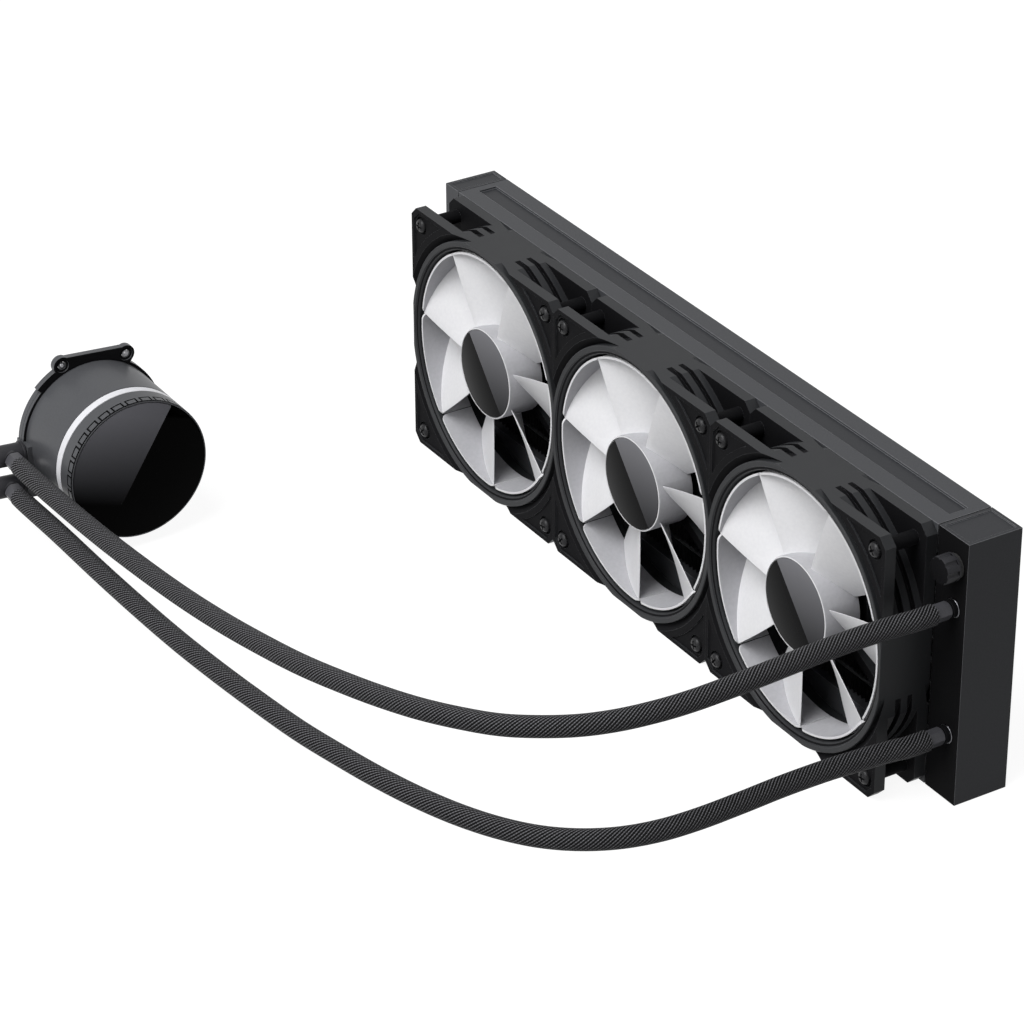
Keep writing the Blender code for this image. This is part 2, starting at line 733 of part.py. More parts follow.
def build_radiator(looks):
    """Build the radiator and what is fixed to it."""
    base = station("radiator_station", Matrix.Translation((CORE_LEFT, 0, RADIATOR_MIDDLE_Z)))
    place("radiator_core", core_mesh(), looks["aluminium_dark"], base)

    port_x = PORT_X - CORE_RIGHT - HEADER_THICKNESS
    bores = [(port_x, rise, BARB_RADIUS) for _, rise in port_rises()]
    bores.append((port_x, FILLER_RISE, FILLER_STEM_RADIUS + SEAT))
    right = station("right_station", Matrix.Translation((CORE_RIGHT, 0, RADIATOR_MIDDLE_Z)))
    left = station(
        "left_station",
        Matrix.Translation((CORE_LEFT, RADIATOR_DEPTH, RADIATOR_MIDDLE_Z))
        @ Matrix.Rotation(math.pi, 4, "Z"),
    )
    tank_place = Matrix.Translation((HEADER_THICKNESS * MM + SEAT * MM, 0, 0))
    for side, parent, length, ports in (
        ("right", right, TANK_RIGHT_LENGTH, bores),
        ("left", left, TANK_LEFT_LENGTH, []),
    ):
        place(f"header_{side}", header_mesh(), looks["aluminium_dark"], parent)
        tank = place(
            f"tank_{side}",
            tank_mesh(length - HEADER_THICKNESS - SEAT, [
                (x - SEAT, z, radius) for x, z, radius in ports
            ]),
            looks["radiator_paint"], parent,
        )
        tank.matrix_local = tank_place

    top = station("top_station", Matrix.Translation((CORE_LEFT, 0, RADIATOR_HEIGHT)))
    bottom = station(
        "bottom_station",
        Matrix.Translation((CORE_LEFT, RADIATOR_DEPTH, 0)) @ Matrix.Rotation(math.pi, 4, "X"),
    )
    place("channel_top", channel_mesh(), looks["radiator_paint"], top)
    place("channel_bottom", channel_mesh(), looks["radiator_paint"], bottom)

    out_of_tank = Matrix.Rotation(math.radians(90), 4, "X")
    for name, rise in port_rises():
        port = station(
            f"port_{name}_station",
            Matrix.Translation((PORT_X, 0, RADIATOR_MIDDLE_Z + rise)) @ out_of_tank,
        )
        place(f"barb_{name}", barb_mesh(), looks["bright_metal"], port)
        sleeve = place(
            f"radiator_sleeve_{name}", sleeve_mesh(SLEEVE_LENGTH, BARB_RADIUS + SEAT),
            looks["grey_plastic"], port,
        )
        sleeve.location.z = (2 * SEAT + BARB_FLANGE) * MM

    filler = station(
        "filler_station",
        Matrix.Translation((PORT_X, 0, RADIATOR_MIDDLE_Z + FILLER_RISE)) @ out_of_tank,
    )
    place("filler_cap", filler_cap_mesh(), looks["grey_plastic"], filler)
    seal = turned(tube_profile(
        FILLER_STEM_RADIUS + SEAT, FILLER_HEAD_RADIUS - FILLER_SEAL_INSET,
        SEAT, SEAT + FILLER_SEAL
    ), 16)
    place("filler_seal", mesh_from("filler_seal", seal), looks["rubber"], filler)


# Fan frame
def corner_outline(size, chamfer):
    """Return a square with chamfered corners."""
    half, cut = size / 2, size / 2 - chamfer
    return [
        (half, -cut), (half, cut), (cut, half), (-cut, half),
        (-half, cut), (-half, -cut), (-cut, -half), (cut, -half),
    ]


def pocket_outline():
    """Return the sunk triangle on the corner plate at +X and +Y."""
    edge = FAN_SIZE / 2 - POCKET_BORDER
    cut = edge - FAN_CORNER
    side = math.sqrt(POCKET_RADIUS ** 2 - edge ** 2)
    arc = arc_points(POCKET_RADIUS, math.atan2(edge, side), math.atan2(side, edge), 4)
    return arc + [(edge, cut), (cut, edge)]


def hole_places():
    """Return the four screw places of one fan."""
    half = FAN_HOLE_SPREAD / 2
    return [(half, half), (-half, half), (-half, -half), (half, -half)]


def barrel_profile():
    """Return the section of the duct's wall with its grooves, lands and steps."""
    front, rear = FAN_DEPTH, 0.0
    return [
        (FAN_BORE_RADIUS, rear),
        (FAN_SIZE, rear),
        (FAN_SIZE, PLATE_THICKNESS),
        (BARREL_RADIUS, PLATE_THICKNESS),
        (BARREL_RADIUS, front - PLATE_THICKNESS),
        (FAN_SIZE, front - PLATE_THICKNESS),
        (FAN_SIZE, front),
        (GROOVE_RADIUS, front),
        (RING_RADIUS, front - GROOVE_DEPTH),
        (RING_RADIUS, front - LAND_SINK),
        (LAND_RADIUS, front - LAND_SINK),
        (FAN_BORE_RADIUS, front - LAND_SINK - LAND_STEP),
    ]


def strut_outline():
    """Return one slanted strut from the motor base to the duct."""
    inner, outer = MOTOR_BASE_RADIUS - STRUT_BITE, FAN_BORE_RADIUS + STRUT_BITE
    start = math.radians(STRUT_START_ANGLE)
    end = math.radians(STRUT_START_ANGLE + STRUT_SWEEP)
    a = Vector((inner * math.cos(start), inner * math.sin(start)))
    b = Vector((outer * math.cos(end), outer * math.sin(end)))
    side = (b - a).normalized().orthogonal() * STRUT_WIDTH / 2
    return [tuple(a - side), tuple(b - side), tuple(b + side), tuple(a + side)]


def screw_builder():
    """Return a builder of one pan-head fan screw, seated in its counterbore."""
    seat = FAN_DEPTH - COUNTERBORE_DEPTH
    head = seat + SEAT + SCREW_HEAD_HEIGHT
    return turned([
        (0, -SEAT - SCREW_REACH), (SCREW_SHANK_RADIUS, -SEAT - SCREW_REACH),
        (SCREW_SHANK_RADIUS, seat - SCREW_BITE), (SCREW_HEAD_RADIUS, seat - SCREW_BITE),
        (SCREW_HEAD_RADIUS, head), (SCREW_HEAD_RADIUS * SCREW_DOME_SHARE, head + SCREW_DOME),
        (0, head + SCREW_DOME),
    ], 6)


def fan_frame_mesh():
    """Return the fan frame with its four screws: Z runs from its rear face to its front."""
    block = mesh_from("frame", prism(corner_outline(FAN_SIZE, FAN_CORNER), 0, FAN_DEPTH))
    section = mesh_from("section", turned(barrel_profile(), DUCT_STEPS))
    counterbore = turned(
        rod_profile(COUNTERBORE_RADIUS, FAN_DEPTH - COUNTERBORE_DEPTH, FAN_DEPTH + 5), 8
    )
    holes = together(
        *(shifted(counterbore, x, y) for x, y in hole_places()),
    )
    pockets = repeated_round(
        prism(pocket_outline(), FAN_DEPTH - POCKET_SINK, FAN_DEPTH + 5), 4
    )
    posts = together(*(
        shifted(turned(rod_profile(POST_RADIUS, 1, FAN_DEPTH - COUNTERBORE_DEPTH - 1), 6), x, y)
        for x, y in hole_places()
    ))
    screws = together(*(shifted(screw_builder(), x, y) for x, y in hole_places()))
    motor_base = mesh_from("motor_base", turned([
        (0, 0), (MOTOR_BASE_RADIUS, 0), (MOTOR_BASE_RADIUS, MOTOR_BASE_THICKNESS),
        (BEARING_TUBE_RADIUS, MOTOR_BASE_THICKNESS),
        (BEARING_TUBE_RADIUS, MOTOR_BASE_THICKNESS + BEARING_TUBE_HEIGHT),
        (BEARING_RADIUS + SEAT, MOTOR_BASE_THICKNESS + BEARING_TUBE_HEIGHT),
        (BEARING_RADIUS + SEAT, BEARING_FLOOR), (0, BEARING_FLOOR),
    ], 14))
    struts = mesh_from("struts", repeated_round(
        prism(strut_outline(), 0, STRUT_THICKNESS), STRUT_COUNT
    ))
    base = combine(motor_base, [("UNION", struts)])
    well = mesh_from("well", turned(tube_profile(
        BEARING_TUBE_RADIUS, MOTOR_BASE_RADIUS - MOTOR_RIM, MOTOR_BASE_THICKNESS, FAN_DEPTH
    ), 14))
    base = combine(base, [("DIFFERENCE", well)])
    return combine(block, [
        ("INTERSECT", section),
        ("UNION", mesh_from("posts", posts)),
        ("DIFFERENCE", mesh_from("pockets", pockets)),
        ("DIFFERENCE", mesh_from("counterbores", holes)),
        ("UNION", base),
        ("UNION", mesh_from("screws", screws)),
    ])


# Fan rotor
def blade_point(span, chord):
    """Return a point of a blade's middle surface, span and chord both 0 to 1."""
    radius_in = HUB_RADIUS - BLADE_BITE
    radius_out = TIP_WALL_RADIUS - TIP_WALL_THICKNESS / 2
    radius = radius_in + (radius_out - radius_in) * span
    lead = ROOT_LEAD_ANGLE * (1 - span)
    width = ROOT_CHORD_ANGLE + (TIP_CHORD_ANGLE - ROOT_CHORD_ANGLE) * span
    front = ROOT_LEAD_HEIGHT + (TIP_LEAD_HEIGHT - ROOT_LEAD_HEIGHT) * span
    angle = math.radians(BLADE_START_ANGLE + lead - width * chord)
    fall = chord * (1 - CAMBER) + CAMBER * chord ** 2
    height = front + (TRAIL_HEIGHT - front) * fall
    return Vector((radius * math.cos(angle), radius * math.sin(angle), height))


def blade(work):
    """Build one cambered and twisted blade with a round nose and a thin tail."""
    step = 1e-3
    sections = []
    for i in range(BLADE_SPAN_STEPS + 1):
        span = i / BLADE_SPAN_STEPS
        upper, lower = [], []
        for j in range(BLADE_CHORD_STEPS + 1):
            chord = j / BLADE_CHORD_STEPS
            point = blade_point(span, chord)
            along = blade_point(span, chord + step) - point
            across = blade_point(span + step, chord) - point
            normal = across.cross(along).normalized()
            thickness = BLADE_THICKNESS * (0.55 + 0.9 * chord * (1 - chord) - 0.15 * chord)
            upper.append(point + normal * thickness / 2)
            lower.append(point - normal * thickness / 2)
        loop = upper + lower[::-1]
        sections.append([work.verts.new(p * MM) for p in loop])
    count = len(sections[0])
    for a, b in zip(sections, sections[1:]):
        for k in range(count):
            m = (k + 1) % count
            work.faces.new((a[k], a[m], b[m], b[k]))
    half = count // 2
    for section in (sections[0], sections[-1]):
        for k in range(half - 1):
            work.faces.new((
                section[k], section[k + 1], section[count - 2 - k], section[count - 1 - k]
            ))


def tip_wall(work):
    """Build the curved wall along one blade's tip, with its front corners cut round."""
    pitch = 360 / BLADE_COUNT
    first = BLADE_START_ANGLE + TIP_WALL_GAP_ANGLE / 2
    last = first - pitch + TIP_WALL_GAP_ANGLE
    stops = [0.0, TIP_WALL_CORNER_ANGLE]
    inner_steps = 3
    width = first - last
    for k in range(1, inner_steps):
        share = k / inner_steps
        stops.append(TIP_WALL_CORNER_ANGLE + (width - 2 * TIP_WALL_CORNER_ANGLE) * share)
    stops += [width - s for s in stops[1::-1]]
    radii = (TIP_WALL_RADIUS - TIP_WALL_THICKNESS, TIP_WALL_RADIUS)
    columns = []
    for stop in stops:
        edge = min(stop, width - stop)
        drop = 0.0
        if edge < TIP_WALL_CORNER_ANGLE:
            drop = TIP_WALL_CORNER * (1 - math.sqrt(
                max(0.0, 1 - (1 - edge / TIP_WALL_CORNER_ANGLE) ** 2)
            ))
        angle = math.radians(first - stop)
        column = []
        for radius in radii:
            for height in (TIP_WALL_REAR, TIP_WALL_FRONT - drop):
                column.append(work.verts.new((
                    radius * MM * math.cos(angle), radius * MM * math.sin(angle), height * MM
                )))
        columns.append(column)
    for a, b in zip(columns, columns[1:]):
        for i, j in ((0, 1), (1, 3), (3, 2), (2, 0)):
            work.faces.new((a[i], a[j], b[j], b[i]))
    for column in (columns[0], columns[-1]):
        work.faces.new((column[0], column[1], column[3], column[2]))


def rotor_mesh():
    """Return the fan's rotor: a hub cup, seven blades and their tip walls in one piece."""
    inside = HUB_RADIUS - HUB_WALL
    roof = HUB_FRONT - HUB_WALL - HUB_CAP_THICKNESS
    boss_end = MOTOR_BASE_THICKNESS + BEARING_TUBE_HEIGHT + END_PLAY
    hub = mesh_from("hub", turned([
        (inside, HUB_REAR), (HUB_RADIUS, HUB_REAR), (HUB_RADIUS, HUB_FRONT),
        (HUB_CAP_RADIUS + SEAT, HUB_FRONT),
        (HUB_CAP_RADIUS + SEAT, HUB_FRONT - HUB_CAP_THICKNESS),
        (0, HUB_FRONT - HUB_CAP_THICKNESS),
        (0, roof - HUB_BOSS_ROOF), (SHAFT_RADIUS + SEAT, roof - HUB_BOSS_ROOF),
        (SHAFT_RADIUS + SEAT, boss_end), (HUB_BOSS_RADIUS, boss_end),
        (HUB_BOSS_RADIUS, roof), (inside, roof),
    ], HUB_STEPS))
    sector = combine(mesh_from("blade", blade), [("UNION", mesh_from("wall", tip_wall))])
    sectors = repeated_round(lambda work: work.from_mesh(sector), BLADE_COUNT)
    return combine(hub, [("UNION", mesh_from("sectors", sectors))])


def stator_mesh(inner, outer, bottom, top, poles):
    """Return a stator: a ring with T-shaped poles that ends in curved shoes."""
    shoe = 2 * math.pi / poles * 0.38
    neck = 2 * math.pi / poles * 0.16
    waist = inner + (outer - inner) * 0.3
    collar = inner + (outer - inner) * 0.75
    outline = []
    for k in range(poles):
        middle = 2 * math.pi * k / poles
        for radius, angle in (
            (waist, -neck * 1.6), (collar, -neck), (collar, -shoe), (outer, -shoe),
            (outer, shoe), (collar, shoe), (collar, neck), (waist, neck * 1.6),
        ):
            outline.append((
                radius * math.cos(middle + angle), radius * math.sin(middle + angle)
            ))
    body = mesh_from("stator", prism(outline, bottom, top))
    steps = 10
    radius = inner / math.cos(math.pi / steps)
    hole = mesh_from("hole", turned(rod_profile(radius, bottom - 1, top + 1), steps))
    return combine(body, [("DIFFERENCE", hole)])


def build_fans(looks):
    """Build the three fans."""
    to_front = Matrix.Rotation(math.radians(90), 4, "X")
    board_top = MOTOR_BASE_THICKNESS + SEAT + BOARD_THICKNESS
    stator_top = board_top + SEAT + STATOR_HEIGHT
    roof = HUB_FRONT - HUB_WALL - HUB_CAP_THICKNESS
    inside = HUB_RADIUS - HUB_WALL
    bearing_top = MOTOR_BASE_THICKNESS + BEARING_TUBE_HEIGHT - SEAT
    meshes = {
        "frame": (fan_frame_mesh(), "frame_plastic"),
        "rotor": (rotor_mesh(), "frosted_plastic"),
        "hub_cap": (
            mesh_from("hub_cap", turned(rod_profile(
                HUB_CAP_RADIUS, HUB_FRONT - HUB_CAP_THICKNESS + SEAT, HUB_FRONT + HUB_CAP_RISE
            ), HUB_STEPS)), "gloss_black",
        ),
        "magnet": (
            mesh_from("magnet", turned(tube_profile(
                inside - SEAT - MAGNET_THICKNESS, inside - SEAT,
                HUB_REAR + MAGNET_INSET, roof - SEAT
            ), HUB_STEPS)), "magnet",
        ),
        "shaft": (
            mesh_from("shaft", turned(rod_profile(
                SHAFT_RADIUS, BEARING_FLOOR + SEAT, roof - HUB_BOSS_ROOF - SEAT
            ), 8)), "bright_metal",
        ),
        "bearing": (
            mesh_from("bearing", turned(tube_profile(
                SHAFT_RADIUS + RUN, BEARING_RADIUS, BEARING_FLOOR + SEAT, bearing_top
            ), 8)), "bronze",
        ),
        "stator": (
            stator_mesh(
                BEARING_TUBE_RADIUS + SEAT,
                inside - SEAT - MAGNET_THICKNESS - STATOR_AIR_GAP,
                board_top + SEAT, stator_top, STATOR_POLES,
            ), "copper_wire",
        ),
        "board": (
            mesh_from("board", turned(tube_profile(
                BEARING_TUBE_RADIUS + SEAT, FAN_BOARD_RADIUS,
                MOTOR_BASE_THICKNESS + SEAT, board_top,
            ), 12)), "board_green",
        ),
    }
    for number, x in enumerate((-FAN_SIZE, 0.0, FAN_SIZE), start=1):
        axis = station(
            f"fan{number}_station",
            Matrix.Translation((x, -SEAT, RADIATOR_MIDDLE_Z)) @ to_front,
        )
        for piece, (mesh, look) in meshes.items():
            place(f"fan{number}_{piece}", mesh, looks[look], axis)


# Pump head
def port_heights():
    """Return the two elbows' places along the housing's side."""
    return (("upper", ELBOW_UPPER), ("lower", ELBOW_LOWER))


def housing_mesh():
    """Return the pump housing with its wet chamber, magnet can and port block."""
    roof = WET_ROOF + ROOF_THICKNESS
    can_top = WET_ROOF + CAN_HEIGHT
    floor = PLATE_FLANGE + 2 * SEAT
    groove = WET_RADIUS + 2 * SEAT + SEAL_WIDTH
    body = mesh_from("housing", turned([
        (0, 0), (BASE_RADIUS, 0), (BASE_RADIUS, BASE_HEIGHT), (PUMP_RADIUS, BASE_HEIGHT),
        (PUMP_RADIUS, HOUSING_HEIGHT), (PUMP_RADIUS - HOUSING_WALL, HOUSING_HEIGHT),
        (PUMP_RADIUS - HOUSING_WALL, roof), (CAN_RADIUS + CAN_WALL, roof),
        (CAN_RADIUS + CAN_WALL, can_top + CAN_WALL), (0, can_top + CAN_WALL),
    ], PUMP_STEPS))
    inside = mesh_from("inside", turned([
        (0, -2), (PLATE_RADIUS + SEAT, -2), (PLATE_RADIUS + SEAT, floor), (groove, floor),
        (groove, floor + SEAL_THICKNESS), (WET_RADIUS, floor + SEAL_THICKNESS),
        (WET_RADIUS, WET_ROOF), (CAN_RADIUS, WET_ROOF), (CAN_RADIUS, can_top), (0, can_top),
    ], PUMP_STEPS))
    block = box(
        (-PORT_BLOCK_REACH, -WET_RADIUS + PORT_BLOCK_ROOT),
        (PORT_BLOCK_TOP - PORT_BLOCK_WIDTH, PORT_BLOCK_TOP),
        (0, PORT_BLOCK_HEIGHT),
    )
    bores = together(*(
        moved(
            turned(rod_profile(ELBOW_SPIGOT_RADIUS + SEAT, -PORT_BLOCK_REACH - 2, 12), 12),
            Matrix.Translation((0, y, ELBOW_HEIGHT))
            @ Matrix.Rotation(math.radians(90), 4, "Y"),
        )
        for _, y in port_heights()
    ))
    sockets = together(*(
        shifted(
            turned(rod_profile(
                PLATE_SCREW_RADIUS + SEAT, floor - 2, floor + PLATE_SCREW_LENGTH
            ), 6),
            x, y,
        )
        for x, y in plate_screw_places()
    ))
    return combine(body, [
        ("UNION", mesh_from("block", block)),
        ("DIFFERENCE", inside),
        ("DIFFERENCE", mesh_from("bores", bores)),
        ("DIFFERENCE", mesh_from("sockets", sockets)),
    ])


def plate_screw_places():
    """Return the places of the screws that hold the cold plate."""
    return circle_outline(
        PLATE_SCREW_CIRCLE, PLATE_SCREW_COUNT, phase=math.pi / PLATE_SCREW_COUNT
    )


def collar_mesh():
    """Return the collar in front of the light ring, with its ring of shallow slots."""
    inner = PUMP_RADIUS - LIGHT_RING_WALL
    rim = PUMP_RADIUS - COLLAR_RIM
    body = mesh_from("collar", turned([
        (inner, 0), (PUMP_RADIUS, 0), (PUMP_RADIUS, COLLAR_HEIGHT), (rim, COLLAR_HEIGHT),
        (rim, COLLAR_HEIGHT - COLLAR_RECESS), (inner, COLLAR_HEIGHT - COLLAR_RECESS),
    ], SLOT_COUNT, phase=math.pi / SLOT_COUNT))
    half = math.pi / SLOT_COUNT * SLOT_SHARE
    inside, outside = PUMP_RADIUS - SLOT_DEPTH, PUMP_RADIUS + 3
    outline = [
        (inside * math.cos(-half), inside * math.sin(-half)),
        (outside * math.cos(-half), outside * math.sin(-half)),
        (outside * math.cos(half), outside * math.sin(half)),
        (inside * math.cos(half), inside * math.sin(half)),
    ]
    top = COLLAR_HEIGHT - SLOT_INSET
    slots = repeated_round(prism(outline, top - SLOT_HEIGHT, top), SLOT_COUNT)
    return combine(body, [("DIFFERENCE", mesh_from("slots", slots))])


def bracket_outline():
    """Return the bracket's outline: a ring with wider arcs that carry two ears each."""
    distance = math.hypot(EAR_X, EAR_Y)
    reach = distance ** 2 + BRACKET_ARC_RADIUS ** 2 - EAR_RADIUS ** 2
    half_ear = math.acos(reach / (2 * distance * BRACKET_ARC_RADIUS))
    meet = math.atan2(EAR_Y, EAR_X) - half_ear
    step = math.radians(90 - BRACKET_ARC_ANGLE)
    ear_first = math.atan2(
        BRACKET_ARC_RADIUS * math.sin(meet) - EAR_Y, BRACKET_ARC_RADIUS * math.cos(meet) - EAR_X
    )
    ear_last = math.pi - math.asin((EAR_BAR_TOP - EAR_Y) / EAR_RADIUS)
    quarter = arc_points(BASE_RADIUS, 0, step, 6)
    quarter += arc_points(BRACKET_ARC_RADIUS, step, meet, 3)
    quarter += arc_points(EAR_RADIUS, ear_first, ear_last, 8, (EAR_X, EAR_Y))[1:]
    half = quarter + [(-x, y) for x, y in quarter[:0:-1]]
    return half + [(-x, -y) for x, y in half]


def bracket_mesh():
    """Return the mounting bracket: a ring with two ears above and two below."""
    seat = BASE_HEIGHT + SEAT
    bottom, top = seat - BRACKET_SKIRT, seat + BRACKET_THICKNESS
    full = mesh_from("bracket", prism(bracket_outline(), bottom, top))
    hole = turned(rod_profile(EAR_HOLE_RADIUS, bottom - 1, top + 1), 12)
    holes = together(*(
        shifted(hole, x, y) for x in (-EAR_X, EAR_X) for y in (-EAR_Y, EAR_Y)
    ))
    inside = turned(rod_profile(PUMP_RADIUS + SEAT, bottom - 1, top + 1), PUMP_STEPS)
    base = turned(rod_profile(BASE_RADIUS + SEAT, bottom - 1, seat), PUMP_STEPS)
    block = box(
        (-PORT_BLOCK_REACH - 5, -WET_RADIUS + PORT_BLOCK_ROOT),
        (PORT_BLOCK_TOP - PORT_BLOCK_WIDTH - SEAT, PORT_BLOCK_TOP + SEAT),
        (bottom - 1, top + 1),
    )
    return combine(full, [
        ("DIFFERENCE", mesh_from("inside", inside)),
        ("DIFFERENCE", mesh_from("base", base)),
        ("DIFFERENCE", mesh_from("block_gap", block)),
        ("DIFFERENCE", mesh_from("ear_holes", holes)),
    ])


def cold_plate_mesh():
    """Return the copper plate with its screws: a raised contact face points to -Z."""
    body = mesh_from("cold_plate", turned([
        (0, -PLATE_CONTACT), (PLATE_CONTACT_RADIUS, -PLATE_CONTACT),
        (PLATE_CONTACT_RADIUS, SEAT), (PLATE_RADIUS, SEAT),
        (PLATE_RADIUS, SEAT + PLATE_FLANGE), (0, SEAT + PLATE_FLANGE),
    ], 24))
    top = PLATE_FLANGE + 2 * SEAT + PLATE_SCREW_LENGTH - 1
    screw = turned([
        (0, -PLATE_SCREW_HEAD_HEIGHT), (PLATE_SCREW_HEAD, -PLATE_SCREW_HEAD_HEIGHT),
        (PLATE_SCREW_HEAD, 2 * SEAT), (PLATE_SCREW_RADIUS, 2 * SEAT),
        (PLATE_SCREW_RADIUS, top), (0, top),
    ], 6)
    screws = together(*(shifted(screw, x, y) for x, y in plate_screw_places()))
    return combine(body, [("UNION", mesh_from("plate_screws", screws))])


def elbow_mesh():
    """Return one elbow: Z runs out of the port block, its hose stub points to +X."""
    reach = ELBOW_REACH - PORT_BLOCK_REACH
    tip = reach + ELBOW_TIP
    body = mesh_from("elbow", turned([
        (0, -ELBOW_SPIGOT), (ELBOW_SPIGOT_RADIUS, -ELBOW_SPIGOT),
        (ELBOW_SPIGOT_RADIUS, SEAT), (ELBOW_FLANGE_RADIUS, SEAT),
        (ELBOW_FLANGE_RADIUS, SEAT + ELBOW_FLANGE), (ELBOW_RADIUS, SEAT + ELBOW_FLANGE),
        (ELBOW_RADIUS, tip - ELBOW_EDGE), (ELBOW_RADIUS - ELBOW_EDGE, tip), (0, tip),
    ], 14))
    end = ELBOW_RADIUS + SEAT + PUMP_SLEEVE_LENGTH
    to_x = Matrix.Translation((0, 0, reach)) @ Matrix.Rotation(math.radians(90), 4, "Y")
    stub = mesh_from("stub", moved(turned(rod_profile(BARB_RADIUS, 0, end), 12), to_x))
    out_bore = mesh_from(
        "out_bore", moved(turned(rod_profile(BARB_BORE, 0, end + 2), 8), to_x)
    )
    in_bore = mesh_from(
        "in_bore", turned(rod_profile(ELBOW_BORE, -ELBOW_SPIGOT - 2, reach), 6)
    )
    return combine(body, [
        ("UNION", stub), ("DIFFERENCE", out_bore), ("DIFFERENCE", in_bore),
    ])


def impeller_mesh():
    """Return the impeller: a magnet stem, a disc and curved vanes towards -Z."""
    disc_top = WET_ROOF - IMPELLER_PLAY
    disc_bottom = disc_top - IMPELLER_DISC
    body = mesh_from("impeller", turned([
        (IMPELLER_PIN_RADIUS + RUN, disc_bottom), (IMPELLER_RADIUS, disc_bottom),
        (IMPELLER_RADIUS, disc_top), (IMPELLER_MAGNET_RADIUS, disc_top),
        (IMPELLER_MAGNET_RADIUS, disc_top + IMPELLER_MAGNET_HEIGHT),
        (IMPELLER_PIN_RADIUS + RUN, disc_top + IMPELLER_MAGNET_HEIGHT),
    ], 16))
    outline = []
    steps = 3
    for side in (1, -1):
        for k in range(steps + 1):
            share = k / steps if side == 1 else 1 - k / steps
            radius = VANE_START + (IMPELLER_RADIUS - 0.5 - VANE_START) * share
            angle = VANE_SWEEP * share
            offset = side * VANE_THICKNESS / 2
            outline.append((
                radius * math.cos(angle) - offset * math.sin(angle),
                radius * math.sin(angle) + offset * math.cos(angle),
            ))
    vane = prism(outline, disc_bottom - VANE_HEIGHT, disc_bottom + 0.5)
    return combine(body, [
        ("UNION", mesh_from("vanes", repeated_round(vane, IMPELLER_VANES))),
    ])


def build_pump(looks):
    """Build the pump head, lying on its lowest ear."""
    face_frame = Matrix(((0, 0, 1, 0), (1, 0, 0, 0), (0, 1, 0, 0), (0, 0, 0, 1)))
    pump = station(
        "pump_station",
        Matrix.Translation((PUMP_BASE_X, PUMP_AXIS_Y, PUMP_CENTRE_Z))
        @ Matrix.Rotation(math.radians(PUMP_ROLL), 4, "X") @ face_frame,
    )
    place("pump_cold_plate", cold_plate_mesh(), looks["copper"], pump)
    floor = PLATE_FLANGE + 2 * SEAT
    seal = turned(tube_profile(
        WET_RADIUS + SEAT, WET_RADIUS + SEAT + SEAL_WIDTH, floor, floor + SEAL_THICKNESS - SEAT
    ), PUMP_STEPS)
    place("pump_seal", mesh_from("seal", seal), looks["rubber"], pump)
    place("pump_housing", housing_mesh(), looks["pump_shell"], pump)
    place("pump_bracket", bracket_mesh(), looks["frame_plastic"], pump)

    jet = turned(tube_profile(
        JET_HOLE_RADIUS, WET_RADIUS - SEAT, floor, floor + JET_PLATE_THICKNESS
    ), 18)
    place("pump_jet_plate", mesh_from("jet_plate", jet), looks["frame_plastic"], pump)
    place("pump_impeller", impeller_mesh(), looks["magnet"], pump)
    pin = turned([
        (0, floor), (JET_HOLE_RADIUS - SEAT, floor),
        (JET_HOLE_RADIUS - SEAT, floor + JET_PLATE_THICKNESS),
        (IMPELLER_PIN_RADIUS, floor + JET_PLATE_THICKNESS),
        (IMPELLER_PIN_RADIUS, WET_ROOF + CAN_HEIGHT - SEAT), (0, WET_ROOF + CAN_HEIGHT - SEAT),
    ], 12)
    place("pump_impeller_pin", mesh_from("impeller_pin", pin), looks["bright_metal"], pump)

    roof = WET_ROOF + ROOF_THICKNESS
    place("pump_stator", stator_mesh(
        CAN_RADIUS + CAN_WALL + SEAT, PUMP_STATOR_RADIUS, roof + SEAT,
        roof + SEAT + PUMP_STATOR_HEIGHT, 6,
    ), looks["copper_wire"], pump)
    board_bottom = WET_ROOF + CAN_HEIGHT + CAN_WALL + SEAT
    board = turned(rod_profile(PUMP_BOARD_RADIUS, board_bottom, board_bottom + BOARD_THICKNESS), 24)
    place("pump_board", mesh_from("pump_board", board), looks["board_green"], pump)

    light_bottom = HOUSING_HEIGHT + SEAT
    light_top = light_bottom + LIGHT_RING_HEIGHT
    light = turned(tube_profile(
        PUMP_RADIUS - LIGHT_RING_WALL, PUMP_RADIUS, light_bottom, light_top
    ), PUMP_STEPS)
    place("pump_light_ring", mesh_from("light_ring", light), looks["light_white"], pump)
    collar = place("pump_collar", collar_mesh(), looks["pump_shell"], pump)
    collar.location.z = (light_top + SEAT) * MM
    face_bottom = light_top + SEAT + COLLAR_HEIGHT - COLLAR_RECESS + SEAT
    face_radius = PUMP_RADIUS - COLLAR_RIM - SEAT
    face = turned([
        (0, face_bottom), (face_radius, face_bottom),
        (face_radius, face_bottom + FACE_THICKNESS - FACE_EDGE),
        (face_radius - FACE_EDGE, face_bottom + FACE_THICKNESS),
        (0, face_bottom + FACE_THICKNESS),
    ], PUMP_STEPS)
    place("pump_face", mesh_from("face", face), looks["gloss_black"], pump)

    for name, y in port_heights():
        elbow = place(f"elbow_{name}", elbow_mesh(), looks["grey_plastic"], pump)
        elbow.matrix_local = (
            Matrix.Translation((-PORT_BLOCK_REACH * MM, y * MM, ELBOW_HEIGHT * MM))
            @ Matrix.Rotation(math.radians(-90), 4, "Y")
        )
        sleeve = place(
            f"pump_sleeve_{name}", sleeve_mesh(PUMP_SLEEVE_LENGTH, BARB_RADIUS + SEAT),
            looks["grey_plastic"], pump,
        )
        sleeve.location = (
            -ELBOW_REACH * MM, y * MM, (ELBOW_HEIGHT + ELBOW_RADIUS + SEAT) * MM
        )
    return pump


